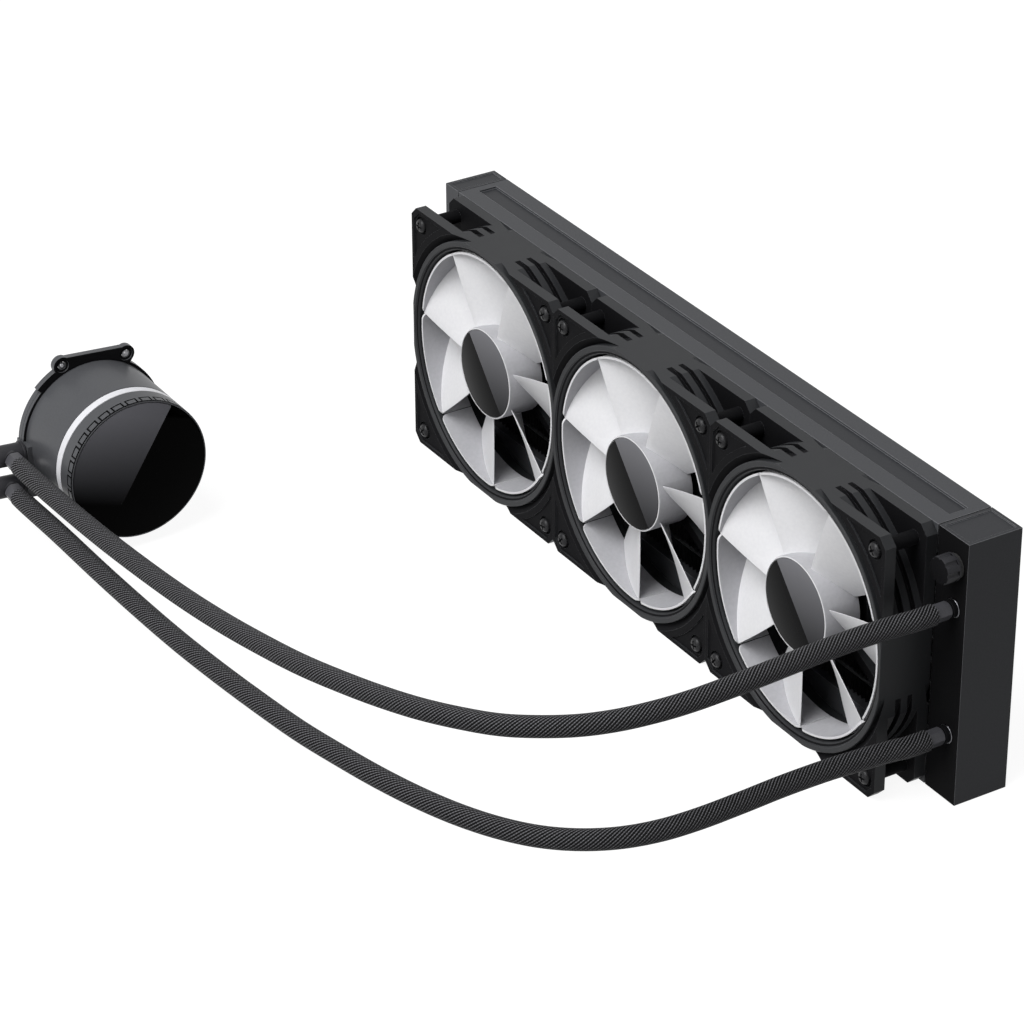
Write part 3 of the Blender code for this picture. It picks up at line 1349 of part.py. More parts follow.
# Hoses
def smooth_route(padded, count):
    """Return evenly spaced points on a Catmull-Rom curve.

    The curve runs through all given points but the first and the last, which steer its ends.
    """
    dense = []
    per_span = 12
    for i in range(1, len(padded) - 2):
        p0, p1, p2, p3 = padded[i - 1:i + 3]
        for k in range(per_span):
            t = k / per_span
            dense.append(0.5 * (
                2 * p1 + (p2 - p0) * t
                + (2 * p0 - 5 * p1 + 4 * p2 - p3) * t ** 2
                + (3 * p1 - p0 - 3 * p2 + p3) * t ** 3
            ))
    dense.append(padded[-2])
    lengths = [0.0]
    for a, b in zip(dense, dense[1:]):
        lengths.append(lengths[-1] + (b - a).length)
    even = []
    index = 0
    for k in range(count):
        target = lengths[-1] * k / (count - 1)
        while index < len(lengths) - 2 and lengths[index + 1] < target:
            index += 1
        share = (target - lengths[index]) / (lengths[index + 1] - lengths[index])
        even.append(dense[index].lerp(dense[index + 1], share))
    return even


def laid_route(start, end, span, route):
    """Return the route's points between two ends, with what span lacks shared along them."""
    drift = end - start - Vector(span)
    return [
        start + Vector(step) + drift * k / (len(route) + 1)
        for k, step in enumerate(route, start=1)
    ]


def build_hose(name, start, end, between, look):
    """Build one hose from the radiator's sleeve to the pump's sleeve."""
    lead_out = start + Vector((0, -HOSE_LEAD, 0))
    lead_in = end + Vector((HOSE_LEAD, 0, 0))
    points = [start, lead_out, *between, lead_in, end]
    curve = bpy.data.curves.new(name, "CURVE")
    curve.dimensions = "3D"
    curve.bevel_depth = HOSE_DIAMETER / 2 * MM
    curve.bevel_resolution = 2
    curve.use_fill_caps = True
    spline = curve.splines.new("POLY")
    smooth_points = [start, *smooth_route(points, HOSE_STEPS), end]
    spline.points.add(len(smooth_points) - 1)
    for place_on, point in zip(spline.points, smooth_points):
        place_on.co = (*(point * MM), 1.0)
    curve.materials.append(look)
    hose = bpy.data.objects.new(name, curve)
    bpy.context.scene.collection.objects.link(hose)


def build_hoses(looks):
    """Build both hoses between the radiator's barbs and the pump's elbows."""
    out = 2 * SEAT + BARB_FLANGE + SLEEVE_LENGTH + SEAT
    pump_end = PUMP_BASE_X + ELBOW_HEIGHT + ELBOW_RADIUS + SEAT + PUMP_SLEEVE_LENGTH + SEAT
    roll = Matrix.Rotation(math.radians(PUMP_ROLL), 4, "X")
    routes = {
        "upper": (HOSE_UPPER_SPAN, HOSE_UPPER_ROUTE), "lower": (HOSE_LOWER_SPAN, HOSE_LOWER_ROUTE),
    }
    rises = dict(port_rises())
    for name, y in port_heights():
        start = Vector((PORT_X, -out, RADIATOR_MIDDLE_Z + rises[name])) + ORIGIN_SHIFT
        arm = roll @ Vector((0, -ELBOW_REACH, y))
        end = Vector((
            pump_end, PUMP_AXIS_Y + arm.y, PUMP_CENTRE_Z + arm.z
        )) + ORIGIN_SHIFT
        between = laid_route(start, end, *routes[name])
        build_hose(f"hose_{name}", start, end, between, looks["hose_sleeve"])


def build_looks():
    """Return every material by name."""
    return {
        "radiator_paint": finish("radiator_paint", (0.035, 0.035, 0.038), 0.42, 0.3),
        "aluminium_dark": finish("aluminium_dark", (0.02, 0.02, 0.022), 0.5, 0.6),
        "bright_metal": finish("bright_metal", (0.55, 0.55, 0.56), 0.25, 1.0),
        "grey_plastic": finish("grey_plastic", (0.07, 0.07, 0.075), 0.5),
        "frame_plastic": finish("frame_plastic", (0.025, 0.025, 0.027), 0.55),
        "frosted_plastic": finish("frosted_plastic", (0.82, 0.82, 0.84), 0.35),
        "gloss_black": finish("gloss_black", (0.008, 0.008, 0.009), 0.06),
        "magnet": finish("magnet", (0.03, 0.03, 0.03), 0.6),
        "bronze": finish("bronze", (0.45, 0.28, 0.12), 0.4, 1.0),
        "copper_wire": finish("copper_wire", (0.6, 0.25, 0.12), 0.35, 1.0),
        "copper": finish("copper", (0.72, 0.36, 0.2), 0.25, 1.0),
        "board_green": finish("board_green", (0.01, 0.07, 0.03), 0.5),
        "rubber": finish("rubber", (0.02, 0.02, 0.02), 0.8),
        "pump_shell": finish("pump_shell", (0.06, 0.06, 0.065), 0.4, 0.2),
        "light_white": finish("light_white", (0.85, 0.85, 0.87), 0.3),
        "hose_sleeve": finish("hose_sleeve", (0.02, 0.02, 0.022), 0.7),
    }


def main():
    """Clear the scene and build the cooler."""
    for item in list(bpy.data.objects):
        bpy.data.objects.remove(item)
    looks = build_looks()
    build_radiator(looks)
    build_fans(looks)
    build_pump(looks)
    build_hoses(looks)


main()
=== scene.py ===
"""Liquid cooler, dressed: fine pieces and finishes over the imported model, with light and camera.

Sizes are millimetres, and the mesh helpers turn them into metres. at() measures places from the
middle fan's axis. The hoses' routes are in the part's own frame.
"""

import logging
import math
from dataclasses import dataclass
from enum import Enum, IntEnum
from typing import Callable, ClassVar

import bmesh
import bpy
from bmesh.types import BMesh, BMVert
from bpy.types import ID, Material, Mesh, MeshPolygon, Node, NodeSocket, NodeTree, Object
from mathutils import Matrix, Vector


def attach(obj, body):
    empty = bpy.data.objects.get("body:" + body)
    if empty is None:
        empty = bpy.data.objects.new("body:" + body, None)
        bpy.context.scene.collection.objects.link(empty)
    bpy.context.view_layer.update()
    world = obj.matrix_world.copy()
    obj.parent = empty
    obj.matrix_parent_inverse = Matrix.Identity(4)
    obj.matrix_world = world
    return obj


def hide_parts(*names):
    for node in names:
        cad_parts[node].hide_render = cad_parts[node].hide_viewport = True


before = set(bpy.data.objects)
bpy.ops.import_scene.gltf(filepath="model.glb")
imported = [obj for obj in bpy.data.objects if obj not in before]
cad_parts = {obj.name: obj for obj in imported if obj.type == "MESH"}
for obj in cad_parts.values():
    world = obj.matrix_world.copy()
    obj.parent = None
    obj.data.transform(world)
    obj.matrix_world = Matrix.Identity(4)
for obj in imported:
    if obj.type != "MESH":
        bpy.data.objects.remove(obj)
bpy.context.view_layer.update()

LOG = logging.getLogger("cooler")

MM = 0.001
SEAT = 0.3                  # gap between pieces that rest on each other
FACING = 0.6                # how squarely a face looks one way to take that way's finish
SHARP = 32.0                # edges that bend more than this, in degrees, are rounded or crisp
PAST = 1.0                  # how far a cutter reaches past a face
WELL_PAST = 5.0             # the same where nothing stands beyond the face
WAVE = 0.314                # scale of a wave texture that repeats once a metre
FAN_PITCH = 120.0           # from one fan's axis to the next
HOLE_REACH = 52.5           # from a fan's axis to its screws, each way
PORT_X = 192.3              # the hose ports and the filler cap, from the middle fan's axis
ORIGIN = Vector((5.6, 101.478, 0.0))    # on the floor, under the middle fan's front

Builder = Callable[[BMesh], None]
Form = Builder | Mesh
Chooser = Callable[[MeshPolygon], bool]
Outline = list[tuple[float, float]]


class Body(Enum):
    """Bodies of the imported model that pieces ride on."""

    COOLER = "cooler"
    FAN_1 = "fan1_turning"
    FAN_2 = "fan2_turning"
    FAN_3 = "fan3_turning"


class Cut(Enum):
    """Boolean operations between two closed meshes."""

    JOIN = "UNION"
    REMOVE = "DIFFERENCE"
    KEEP = "INTERSECT"


class Sides(IntEnum):
    """Numbers of sides of round forms, more for larger ones and those seen from near."""

    HOLE = 20
    INLET = 24
    BORE = 32
    ROUND = 40
    SLEEVE = 48
    TURNED = 64
    CAP = 90
    HUB = 112
    DUCT = 128
    PUMP = 180


# Mesh making
def skin(work: BMesh, rings: list[list[BMVert]]) -> None:
    """Join each ring of points to the next with faces; points that fall together count once."""
    for a, b in zip(rings, rings[1:]):
        for k in range(len(a)):
            m = (k + 1) % len(a)
            corners = list(dict.fromkeys((a[k], a[m], b[m], b[k])))
            if len(corners) > 2:
                work.faces.new(corners)


def close(work: BMesh, ring: list[BMVert]) -> None:
    """Close a ring that runs out along one side and back along the other with a row of faces."""
    count = len(ring)
    for k in range(count // 2 - 1):
        work.faces.new((ring[k], ring[k + 1], ring[count - 2 - k], ring[count - 1 - k]))


def prism(outline: Outline, bottom: float, top: float) -> Builder:
    """Make a builder of an outline in X and Y raised along Z.

    Args:
        outline: corners of the closed outline.
        bottom: lower height.
        top: upper height.

    Returns:
        The builder.
    """
    def build(work: BMesh) -> None:
        """Add the prism to work."""
        lower = [work.verts.new((x * MM, y * MM, bottom * MM)) for x, y in outline]
        upper = [work.verts.new((x * MM, y * MM, top * MM)) for x, y in outline]
        work.faces.new(lower)
        work.faces.new(upper)
        skin(work, [lower, upper])
    return build


def turned(profile: Outline, steps: int) -> Builder:
    """Make a builder of a closed profile turned about Z.

    Args:
        profile: (radius, height) points; radius 0 is a pole.
        steps: number of sides.

    Returns:
        The builder.
    """
    def build(work: BMesh) -> None:
        """Add the turned form to work."""
        rings = []
        for radius, height in profile:
            if radius == 0:
                rings.append([work.verts.new((0, 0, height * MM))] * steps)
                continue
            rings.append([
                work.verts.new((radius * MM * math.cos(turn), radius * MM * math.sin(turn),
                                height * MM))
                for turn in (math.tau * k / steps for k in range(steps))
            ])
        skin(work, rings + rings[:1])
    return build


def tube(inner: float, outer: float, bottom: float, top: float, steps: int) -> Builder:
    """Return a builder of an upright tube."""
    return turned([(inner, bottom), (outer, bottom), (outer, top), (inner, top)], steps)


def rod(radius: float, bottom: float, top: float, steps: int) -> Builder:
    """Return a builder of an upright rod."""
    return turned([(0, bottom), (radius, bottom), (radius, top), (0, top)], steps)


def box(x: tuple[float, float], y: tuple[float, float], z: tuple[float, float]) -> Builder:
    """Return a builder of a box between the given limits."""
    return prism([(x[0], y[0]), (x[1], y[0]), (x[1], y[1]), (x[0], y[1])], z[0], z[1])


def arc(radius: float, first: float, last: float, steps: int,
        centre: tuple[float, float] = (0.0, 0.0)) -> Outline:
    """Return points along an arc.

    Args:
        radius: the arc's radius.
        first: start angle in radians.
        last: end angle in radians.
        steps: number of chords.
        centre: the arc's centre.

    Returns:
        The points, both ends included.
    """
    return [
        (
            centre[0] + radius * math.cos(first + (last - first) * k / steps),
            centre[1] + radius * math.sin(first + (last - first) * k / steps),
        )
        for k in range(steps + 1)
    ]


def together(*builders: Builder) -> Builder:
    """Return a builder that runs several builders."""
    def build(work: BMesh) -> None:
        """Add every form to work."""
        for builder in builders:
            builder(work)
    return build


def moved(builder: Builder, matrix: Matrix) -> Builder:
    """Return a builder whose form is moved by matrix, given in millimetres."""
    def build(work: BMesh) -> None:
        """Add the moved form to work."""
        before = set(work.verts)
        builder(work)
        added = [v for v in work.verts if v not in before]
        scale = Matrix.Scale(MM, 4)
        bmesh.ops.transform(work, matrix=scale @ matrix @ scale.inverted(), verts=added)
    return build


def shifted(builder: Builder, x: float = 0.0, y: float = 0.0, z: float = 0.0) -> Builder:
    """Return a builder moved by the given distances."""
    return moved(builder, Matrix.Translation((x, y, z)))


def spread(builder: Builder, places: Outline) -> Builder:
    """Return a builder that repeats a form at each place in X and Y."""
    return together(*(shifted(builder, x, y) for x, y in places))


def stamped(mesh: Mesh) -> Builder:
    """Return a builder that adds a finished mesh."""
    return lambda work: work.from_mesh(mesh)


def round_z(builder: Builder, count: int) -> Builder:
    """Return a builder that repeats a form round the Z axis."""
    return together(*(
        moved(builder, Matrix.Rotation(math.tau * k / count, 4, "Z")) for k in range(count)
    ))


def mesh_of(form: Form, name: str = "work") -> Mesh:
    """Return a mesh as it is, or the one that a builder makes, with its faces turned out."""
    if isinstance(form, Mesh):
        return form
    work = bmesh.new()
    form(work)
    bmesh.ops.recalc_face_normals(work, faces=work.faces)
    mesh = bpy.data.meshes.new(name)
    work.to_mesh(mesh)
    work.free()
    return mesh


def add_object(name: str, data: ID) -> Object:
    """Add an object to the scene."""
    item = bpy.data.objects.new(name, data)
    bpy.context.scene.collection.objects.link(item)
    return item


def cut(start: Form, *steps: tuple[Cut, Form]) -> Mesh:
    """Run a chain of exact Booleans on a form.

    Args:
        start: the form to work on.
        steps: an operation and its form, in order.

    Returns:
        The new mesh.
    """
    body = add_object("work_body", mesh_of(start))
    tools = []
    for operation, form in steps:
        tool = add_object("work_tool", mesh_of(form))
        modifier = body.modifiers.new("Cut", "BOOLEAN")
        modifier.operation = operation.value
        modifier.solver = "EXACT"
        modifier.object = tool
        tools.append(tool)
    bpy.context.view_layer.update()
    result = bpy.data.meshes.new_from_object(
        body.evaluated_get(bpy.context.evaluated_depsgraph_get())
    )
    for item in (body, *tools):
        bpy.data.objects.remove(item)
    work = bmesh.new()
    work.from_mesh(result)
    bmesh.ops.remove_doubles(work, verts=work.verts, dist=2e-6)
    bmesh.ops.dissolve_degenerate(work, edges=work.edges, dist=2e-6)
    work.to_mesh(result)
    work.free()
    return result


def carve(start: Form, *forms: Form) -> Mesh:
    """Return the mesh of start with every form taken out of it."""
    return cut(start, *((Cut.REMOVE, form) for form in forms))


# Finishes
def linear(hex_colour: str) -> tuple[float, float, float, float]:
    """Return a linear colour from an sRGB hex value."""
    parts = [int(hex_colour[i:i + 2], 16) / 255 for i in (1, 3, 5)]
    return (*(
        c / 12.92 if c <= 0.04045 else ((c + 0.055) / 1.055) ** 2.4 for c in parts
    ), 1.0)


def add_node(tree: NodeTree, kind: str, inputs: dict | None = None,
             **settings: object) -> Node:
    """Add a node with its settings and its inputs.

    Args:
        tree: the material's node tree.
        kind: the node's Blender type.
        inputs: a value or a source socket for each input, by name or number.
        settings: the node's own properties.

    Returns:
        The node.
    """
    node = tree.nodes.new(kind)
    for key, value in settings.items():
        setattr(node, key, value)
    for key, value in (inputs or {}).items():
        if isinstance(value, NodeSocket):
            tree.links.new(value, node.inputs[key])
        else:
            node.inputs[key].default_value = value
    return node


@dataclass(frozen=True)
class Finish:
    """A surface: what it is made of, and the grain that breaks up its colour and gloss."""

    name: str
    slot: str
    light: str              # sRGB hex of the grain's high spots
    dark: str               # sRGB hex of its low spots
    roughness: float
    metallic: float = 0.0
    ior: float = 1.5
    grain_mm: float = 1.2   # width of one grain
    depth_mm: float = 0.01
    spread: float = 0.06    # how far roughness wanders
    cloud_mm: float = 30.0  # width of the broad, faint change of tone
    specular: float = 0.5   # 0.5 is the plain gloss of its IOR

    def material(self) -> Material:
        """Return the finish's material, made once."""
        ready = bpy.data.materials.get(self.name)
        if ready:
            return ready
        made = bpy.data.materials.new(self.name)
        made.use_nodes = True
        tree = made.node_tree
        shader = tree.nodes["Principled BSDF"]
        shader.inputs["Metallic"].default_value = self.metallic
        if self.metallic < 0.5:
            shader.inputs["IOR"].default_value = self.ior
            shader.inputs["Specular IOR Level"].default_value = self.specular
        made.diffuse_color = linear(self.light)
        self.dress(tree, shader)
        return made

    def noise(self, tree: NodeTree, width_mm: float,
              detail: float = 4.0) -> NodeSocket:
        """Add noise of a real size.

        Args:
            tree: the material's node tree.
            width_mm: width of one lump.
            detail: finer layers on top.

        Returns:
            The noise's value socket.
        """
        where = add_node(tree, "ShaderNodeTexCoord")
        noise = add_node(tree, "ShaderNodeTexNoise", {
            "Vector": where.outputs["Object"], "Scale": 1.0 / (width_mm * MM), "Detail": detail,
        })
        return noise.outputs["Fac"]

    def tone(self, tree: NodeTree, value: NodeSocket,
             low: float = 0.3, high: float = 0.7) -> NodeSocket:
        """Add a ramp from the dark to the light tone.

        Args:
            tree: the material's node tree.
            value: what drives the ramp.
            low: value of the dark tone.
            high: value of the light tone.

        Returns:
            The colour socket.
        """
        ramp = add_node(tree, "ShaderNodeValToRGB", {"Fac": value})
        ramp.color_ramp.elements[0].position = low
        ramp.color_ramp.elements[1].position = high
        ramp.color_ramp.elements[0].color = linear(self.dark)
        ramp.color_ramp.elements[1].color = linear(self.light)
        return ramp.outputs["Color"]

    def gloss(self, tree: NodeTree, value: NodeSocket) -> NodeSocket:
        """Add a roughness that wanders round the finish's own."""
        wander = add_node(tree, "ShaderNodeMapRange", {
            "Value": value, "From Min": 0.25, "From Max": 0.75,
            "To Min": max(0.02, self.roughness - self.spread),
            "To Max": min(1.0, self.roughness + self.spread),
        })
        return wander.outputs["Result"]

    def relief(self, tree: NodeTree,
               height: NodeSocket) -> NodeSocket:
        """Add a bump of the finish's own depth and return its normal."""
        bump = add_node(tree, "ShaderNodeBump", {
            "Height": height, "Distance": self.depth_mm * MM, "Strength": 1.0,
        })
        return bump.outputs["Normal"]

    def cover(self, tree: NodeTree, shader: Node, colour: NodeSocket, gloss: NodeSocket,
              height: NodeSocket) -> None:
        """Link a colour, what drives the gloss and a height to the shader."""
        tree.links.new(colour, shader.inputs["Base Color"])
        tree.links.new(self.gloss(tree, gloss), shader.inputs["Roughness"])
        tree.links.new(self.relief(tree, height), shader.inputs["Normal"])

    def dress(self, tree: NodeTree, shader: Node) -> None:
        """Draw fine grain and broad clouds."""
        grain = self.noise(tree, self.grain_mm)
        cloud = self.noise(tree, self.cloud_mm, 2.0)
        both = add_node(tree, "ShaderNodeMath", {0: grain, 1: cloud}, operation="ADD")
        half = add_node(tree, "ShaderNodeMath", {0: both.outputs[0], 1: 0.5},
                        operation="MULTIPLY")
        self.cover(tree, shader, self.tone(tree, half.outputs[0]), cloud, grain)


@dataclass(frozen=True)
class Frosted(Finish):
    """Frosted polycarbonate: light goes in and softens, so thin edges look brighter."""

    scatter: float = 0.1
    reach_mm: float = 4.0       # how far light travels inside

    def dress(self, tree: NodeTree, shader: Node) -> None:
        """Add light that scatters under the surface to the plain grain."""
        super().dress(tree, shader)
        shader.inputs["Subsurface Weight"].default_value = self.scatter
        shader.inputs["Subsurface Radius"].default_value = (self.reach_mm * MM,) * 3
        shader.inputs["Subsurface Scale"].default_value = 1.0


@dataclass(frozen=True)
class Glowing(Finish):
    """Opal acrylic with a weak lamp behind it."""

    strength: float = 0.1

    def dress(self, tree: NodeTree, shader: Node) -> None:
        """Add the lamp's light to the plain grain."""
        super().dress(tree, shader)
        shader.inputs["Emission Color"].default_value = linear(self.light)
        shader.inputs["Emission Strength"].default_value = self.strength


@dataclass(frozen=True)
class PaintedReflectionGloss(Finish):
    """Gloss acrylic with a painted reflection: a paler half that fades, and a near black one."""

    angle: float = 45.0         # direction of the seam in the disc's plane, degrees
    seam_mm: float = 0.1        # width of the seam, through the disc's centre
    fade: tuple[float, float] = (1.0, 0.0)      # way in which the paler half grows paler
    reach_mm: tuple[float, float] = (-20.0, 20.0)   # where it starts and where it is whole

    def dress(self, tree: NodeTree, shader: Node) -> None:
        """Paint the reflection: split the disc along its seam and let the paler half fade."""
        where = add_node(tree, "ShaderNodeTexCoord")
        across = (-math.sin(math.radians(self.angle)), math.cos(math.radians(self.angle)), 0)
        side = add_node(tree, "ShaderNodeVectorMath", {
            0: where.outputs["Object"], 1: across,
        }, operation="DOT_PRODUCT")
        seam = add_node(tree, "ShaderNodeMapRange", {
            "Value": side.outputs["Value"],
            "From Min": -self.seam_mm / 2 * MM, "From Max": self.seam_mm / 2 * MM,
        })
        along = add_node(tree, "ShaderNodeVectorMath", {
            0: where.outputs["Object"], 1: (*self.fade, 0.0),
        }, operation="DOT_PRODUCT")
        fading = add_node(tree, "ShaderNodeMapRange", {
            "Value": along.outputs["Value"],
            "From Min": self.reach_mm[0] * MM, "From Max": self.reach_mm[1] * MM,
        })
        share = add_node(tree, "ShaderNodeMath", {
            0: seam.outputs["Result"], 1: fading.outputs["Result"],
        }, operation="MULTIPLY")
        haze = self.noise(tree, self.grain_mm)
        self.cover(tree, shader, self.tone(tree, share.outputs[0], 0.0, 1.0), haze, haze)


@dataclass(frozen=True)
class Turned(Finish):
    """Metal turned on a lathe: fine rings round the piece's Z axis."""

    def dress(self, tree: NodeTree, shader: Node) -> None:
        """Draw rings across the height and radius."""
        where = add_node(tree, "ShaderNodeTexCoord")
        rings = add_node(tree, "ShaderNodeTexWave", {
            "Vector": where.outputs["Object"], "Scale": WAVE / (self.grain_mm * MM),
            "Distortion": 1.5, "Detail": 2.0,
        }, wave_type="RINGS", rings_direction="Z")
        ring = rings.outputs["Fac"]
        self.cover(tree, shader, self.tone(tree, ring), ring, ring)


@dataclass(frozen=True)
class Louvred(Finish):
    """Folded fin strip, cut into rows of fine louvres across the air's way."""

    def dress(self, tree: NodeTree, shader: Node) -> None:
        """Draw the louvres as bands along Y."""
        where = add_node(tree, "ShaderNodeTexCoord")
        bands = add_node(tree, "ShaderNodeTexWave", {
            "Vector": where.outputs["Object"], "Scale": WAVE / (self.grain_mm * MM),
        }, wave_type="BANDS", bands_direction="Y", wave_profile="TRI")
        band = bands.outputs["Fac"]
        self.cover(tree, shader, self.tone(tree, band), self.noise(tree, self.cloud_mm), band)


@dataclass(frozen=True)
class Braid(Finish):
    """Braided polyester sleeve: two sets of yarns that cross, read from the hose's own map."""

    yarns: int = 18             # strands each way round the hose
    lay_mm: float = 32.0        # length in which a strand goes once round
    crossing: float = 0.3       # how strongly the strands of the other way show

    def dress(self, tree: NodeTree, shader: Node) -> None:
        """Cross two slanted waves, one much stronger than the other."""
        where = add_node(tree, "ShaderNodeUVMap")
        parts = add_node(tree, "ShaderNodeSeparateXYZ", {"Vector": where.outputs["UV"]})
        heights = []
        for sense, weight in ((1.0, 1.0), (-1.0, self.crossing)):
            turn = add_node(tree, "ShaderNodeMath", {
                0: parts.outputs["Y"], 1: sense / (self.lay_mm * MM),
            }, operation="MULTIPLY")
            phase = add_node(tree, "ShaderNodeMath", {
                0: parts.outputs["X"], 1: turn.outputs[0],
            }, operation="ADD")
            wound = add_node(tree, "ShaderNodeMath", {
                0: phase.outputs[0], 1: math.tau * self.yarns,
            }, operation="MULTIPLY")
            wave = add_node(tree, "ShaderNodeMath", {0: wound.outputs[0]}, operation="SINE")
            scaled = add_node(tree, "ShaderNodeMapRange", {
                "Value": wave.outputs[0], "From Min": -1.0, "From Max": 1.0,
                "To Max": weight,
            })
            heights.append(scaled.outputs["Result"])
        woven = add_node(tree, "ShaderNodeMath", {0: heights[0], 1: heights[1]},
                         operation="ADD")
        level = add_node(tree, "ShaderNodeMath", {
            0: woven.outputs[0], 1: 1 / (1 + self.crossing),
        }, operation="MULTIPLY")
        self.cover(tree, shader, self.tone(tree, level.outputs[0], 0.5, 1.0),
                   self.noise(tree, self.grain_mm), level.outputs[0])
        shader.inputs["Sheen Weight"].default_value = 0.04
        shader.inputs["Sheen Roughness"].default_value = 0.4


class Looks:
    """Every finish of the cooler, named for its material and how its surface was made, with the
    copies that paint light or shade.
    """

    # Polyester powder coat on aluminium: satin, with a faint orange peel
    RADIATOR_PAINT = Finish(
        "powder_coated_aluminium", "radiator_paint", "#323336", "#2A2B2E", 0.42,
        grain_mm=0.8, depth_mm=0.012, cloud_mm=60.0, specular=0.12)
    # Folded sheet of the side channels, a shade paler than the tanks; on the left tank's front faces
    # it is painted light
    CHANNEL_PAINT_AND_PAINTED_LIGHT = Finish(
        "channel_powder_coat_and_painted_light", "radiator_paint", "#46474A", "#3D3E41", 0.4,
        grain_mm=0.8, depth_mm=0.012, cloud_mm=60.0, specular=0.12)
    # Painted highlight on the rounded edges of the tanks and channels: a paler copy of the coat
    RADIATOR_PAINTED_HIGHLIGHT = Finish(
        "powder_coat_painted_edge_highlight", "radiator_paint", "#6C6D70", "#5B5C5F", 0.34,
        grain_mm=0.8, depth_mm=0.006, specular=0.3)
    # Painted shade: the same coat darkened to near black and matt on the right tank's front faces
    RADIATOR_PAINTED_SHADE = Finish(
        "powder_coat_painted_shade", "radiator_paint", "#151516", "#0D0D0E", 0.7,
        grain_mm=0.8, depth_mm=0.012, cloud_mm=60.0, specular=0.03)
    # Dip-coated brazed aluminium: darker and duller than the tanks
    CORE_COAT = Finish(
        "dip_coated_aluminium", "aluminium_dark", "#2A2B2D", "#1C1D1F", 0.5, metallic=0.4,
        grain_mm=2.0, depth_mm=0.01)
    # Louvred fin stock, dip coated; the louvres are drawn at 1.2 mm, as coarse as shows
    FIN_STOCK = Louvred(
        "louvred_fin_stock", "aluminium_dark", "#18191B", "#060607", 0.5, metallic=0.4,
        grain_mm=1.2, depth_mm=0.12)
    # Nickel plated brass: a bright turned flange
    PLATED_BRASS = Turned(
        "nickel_plated_brass", "bright_metal", "#A2A2A5", "#6A6A6E", 0.28, metallic=1.0,
        grain_mm=0.4, depth_mm=0.004)
    # Glass-filled nylon: satin grey, with fibre specks
    GREY_NYLON = Finish(
        "glass_filled_nylon", "grey_plastic", "#353538", "#28282B", 0.42, ior=1.53,
        grain_mm=0.5, depth_mm=0.012, specular=0.12)
    # The same nylon unpainted, a paler satin grey
    SLEEVE_NYLON = Finish(
        "natural_grey_nylon", "grey_plastic", "#515155", "#3F3F43", 0.38, ior=1.53,
        grain_mm=0.5, depth_mm=0.012, specular=0.2)
    # Moulded PBT, satin: the paler copy, which the frame keeps where it takes no painted shade
    FRAME_PBT = Finish(
        "satin_pbt", "frame_plastic", "#2E2F31", "#262729", 0.46, ior=1.57,
        grain_mm=0.6, depth_mm=0.01, specular=0.12)
    # Painted shade: the same PBT darkened to near black and matt, on the fans' fronts, grooves and
    # posts
    FRAME_PAINTED_SHADE = Finish(
        "pbt_painted_shade", "frame_plastic", "#18181A", "#0E0E0F", 0.66, ior=1.57,
        grain_mm=0.5, depth_mm=0.02, specular=0.03)
    # Painted highlight on the frames' rounded edges: a little paler than the faces beside them
    FRAME_PAINTED_HIGHLIGHT = Finish(
        "pbt_painted_edge_highlight", "frame_plastic", "#4A4B4E", "#3C3D40", 0.36, ior=1.57,
        grain_mm=0.6, depth_mm=0.006, specular=0.15)
    # Frosted polycarbonate, gated at the hub
    FROSTED = Frosted(
        "frosted_polycarbonate", "frosted_plastic", "#E9E9EB", "#DFDFE2", 0.4, ior=1.58,
        grain_mm=1.5, depth_mm=0.004, cloud_mm=25.0, specular=0.2)
    # Painted shade: the same plastic greyer on the hub's side and the tip walls' inner sides
    FROSTED_PAINTED_SHADE = Frosted(
        "frosted_polycarbonate_painted_shade", "frosted_plastic", "#BABABE", "#ACACB0", 0.42, ior=1.58,
        grain_mm=1.5, depth_mm=0.004, cloud_mm=25.0, specular=0.2)
    # Gloss acrylic hub disc with a painted reflection in two halves
    HUB_PAINTED_REFLECTION = PaintedReflectionGloss(
        "gloss_acrylic_hub_painted_reflection", "gloss_black", "#77777B", "#0D0D0E", 0.08, ior=1.49,
        grain_mm=6.0, depth_mm=0.002, spread=0.02, angle=-49.0,
        fade=(-0.1, 0.99), reach_mm=(-22.0, 22.0), specular=0.02)
    # Gloss acrylic face of the pump with a painted reflection in two halves
    FACE_PAINTED_REFLECTION = PaintedReflectionGloss(
        "gloss_acrylic_face_painted_reflection", "gloss_black", "#69696E", "#010101", 0.06, ior=1.49,
        grain_mm=8.0, depth_mm=0.002, spread=0.02, angle=62.0,
        fade=(0.25, 0.97), reach_mm=(-18.0, 25.0), specular=0.015)
    # Sprayed ABS: satin dark grey shell of the pump
    PUMP_SHELL = Finish(
        "sprayed_abs", "pump_shell", "#515255", "#48494C", 0.36, ior=1.54,
        grain_mm=0.7, depth_mm=0.006, cloud_mm=40.0, specular=0.15)
    # Opal acrylic light guide
    LIGHT_GUIDE = Glowing(
        "opal_acrylic", "light_white", "#DCDCE0", "#D0D0D4", 0.4, ior=1.49,
        grain_mm=2.0, depth_mm=0.004, specular=0.2)
    # Black zinc plated steel screws: dark, with a dull shine
    SCREW_STEEL = Turned(
        "black_zinc_steel", "frame_plastic", "#2C2C2E", "#141415", 0.36, metallic=0.3,
        grain_mm=0.5, depth_mm=0.008, specular=0.25)
    # Lapped copper plate: even, with a soft sheen
    COPPER = Finish(
        "lapped_copper", "copper", "#D0946D", "#C08259", 0.26, metallic=1.0,
        grain_mm=0.6, depth_mm=0.004)
    # Enamelled copper winding: strands drawn 0.5 mm wide
    WINDING = Louvred(
        "enamelled_copper_wire", "copper_wire", "#C87B4C", "#7C4123", 0.3, metallic=0.9,
        grain_mm=0.5, depth_mm=0.08)
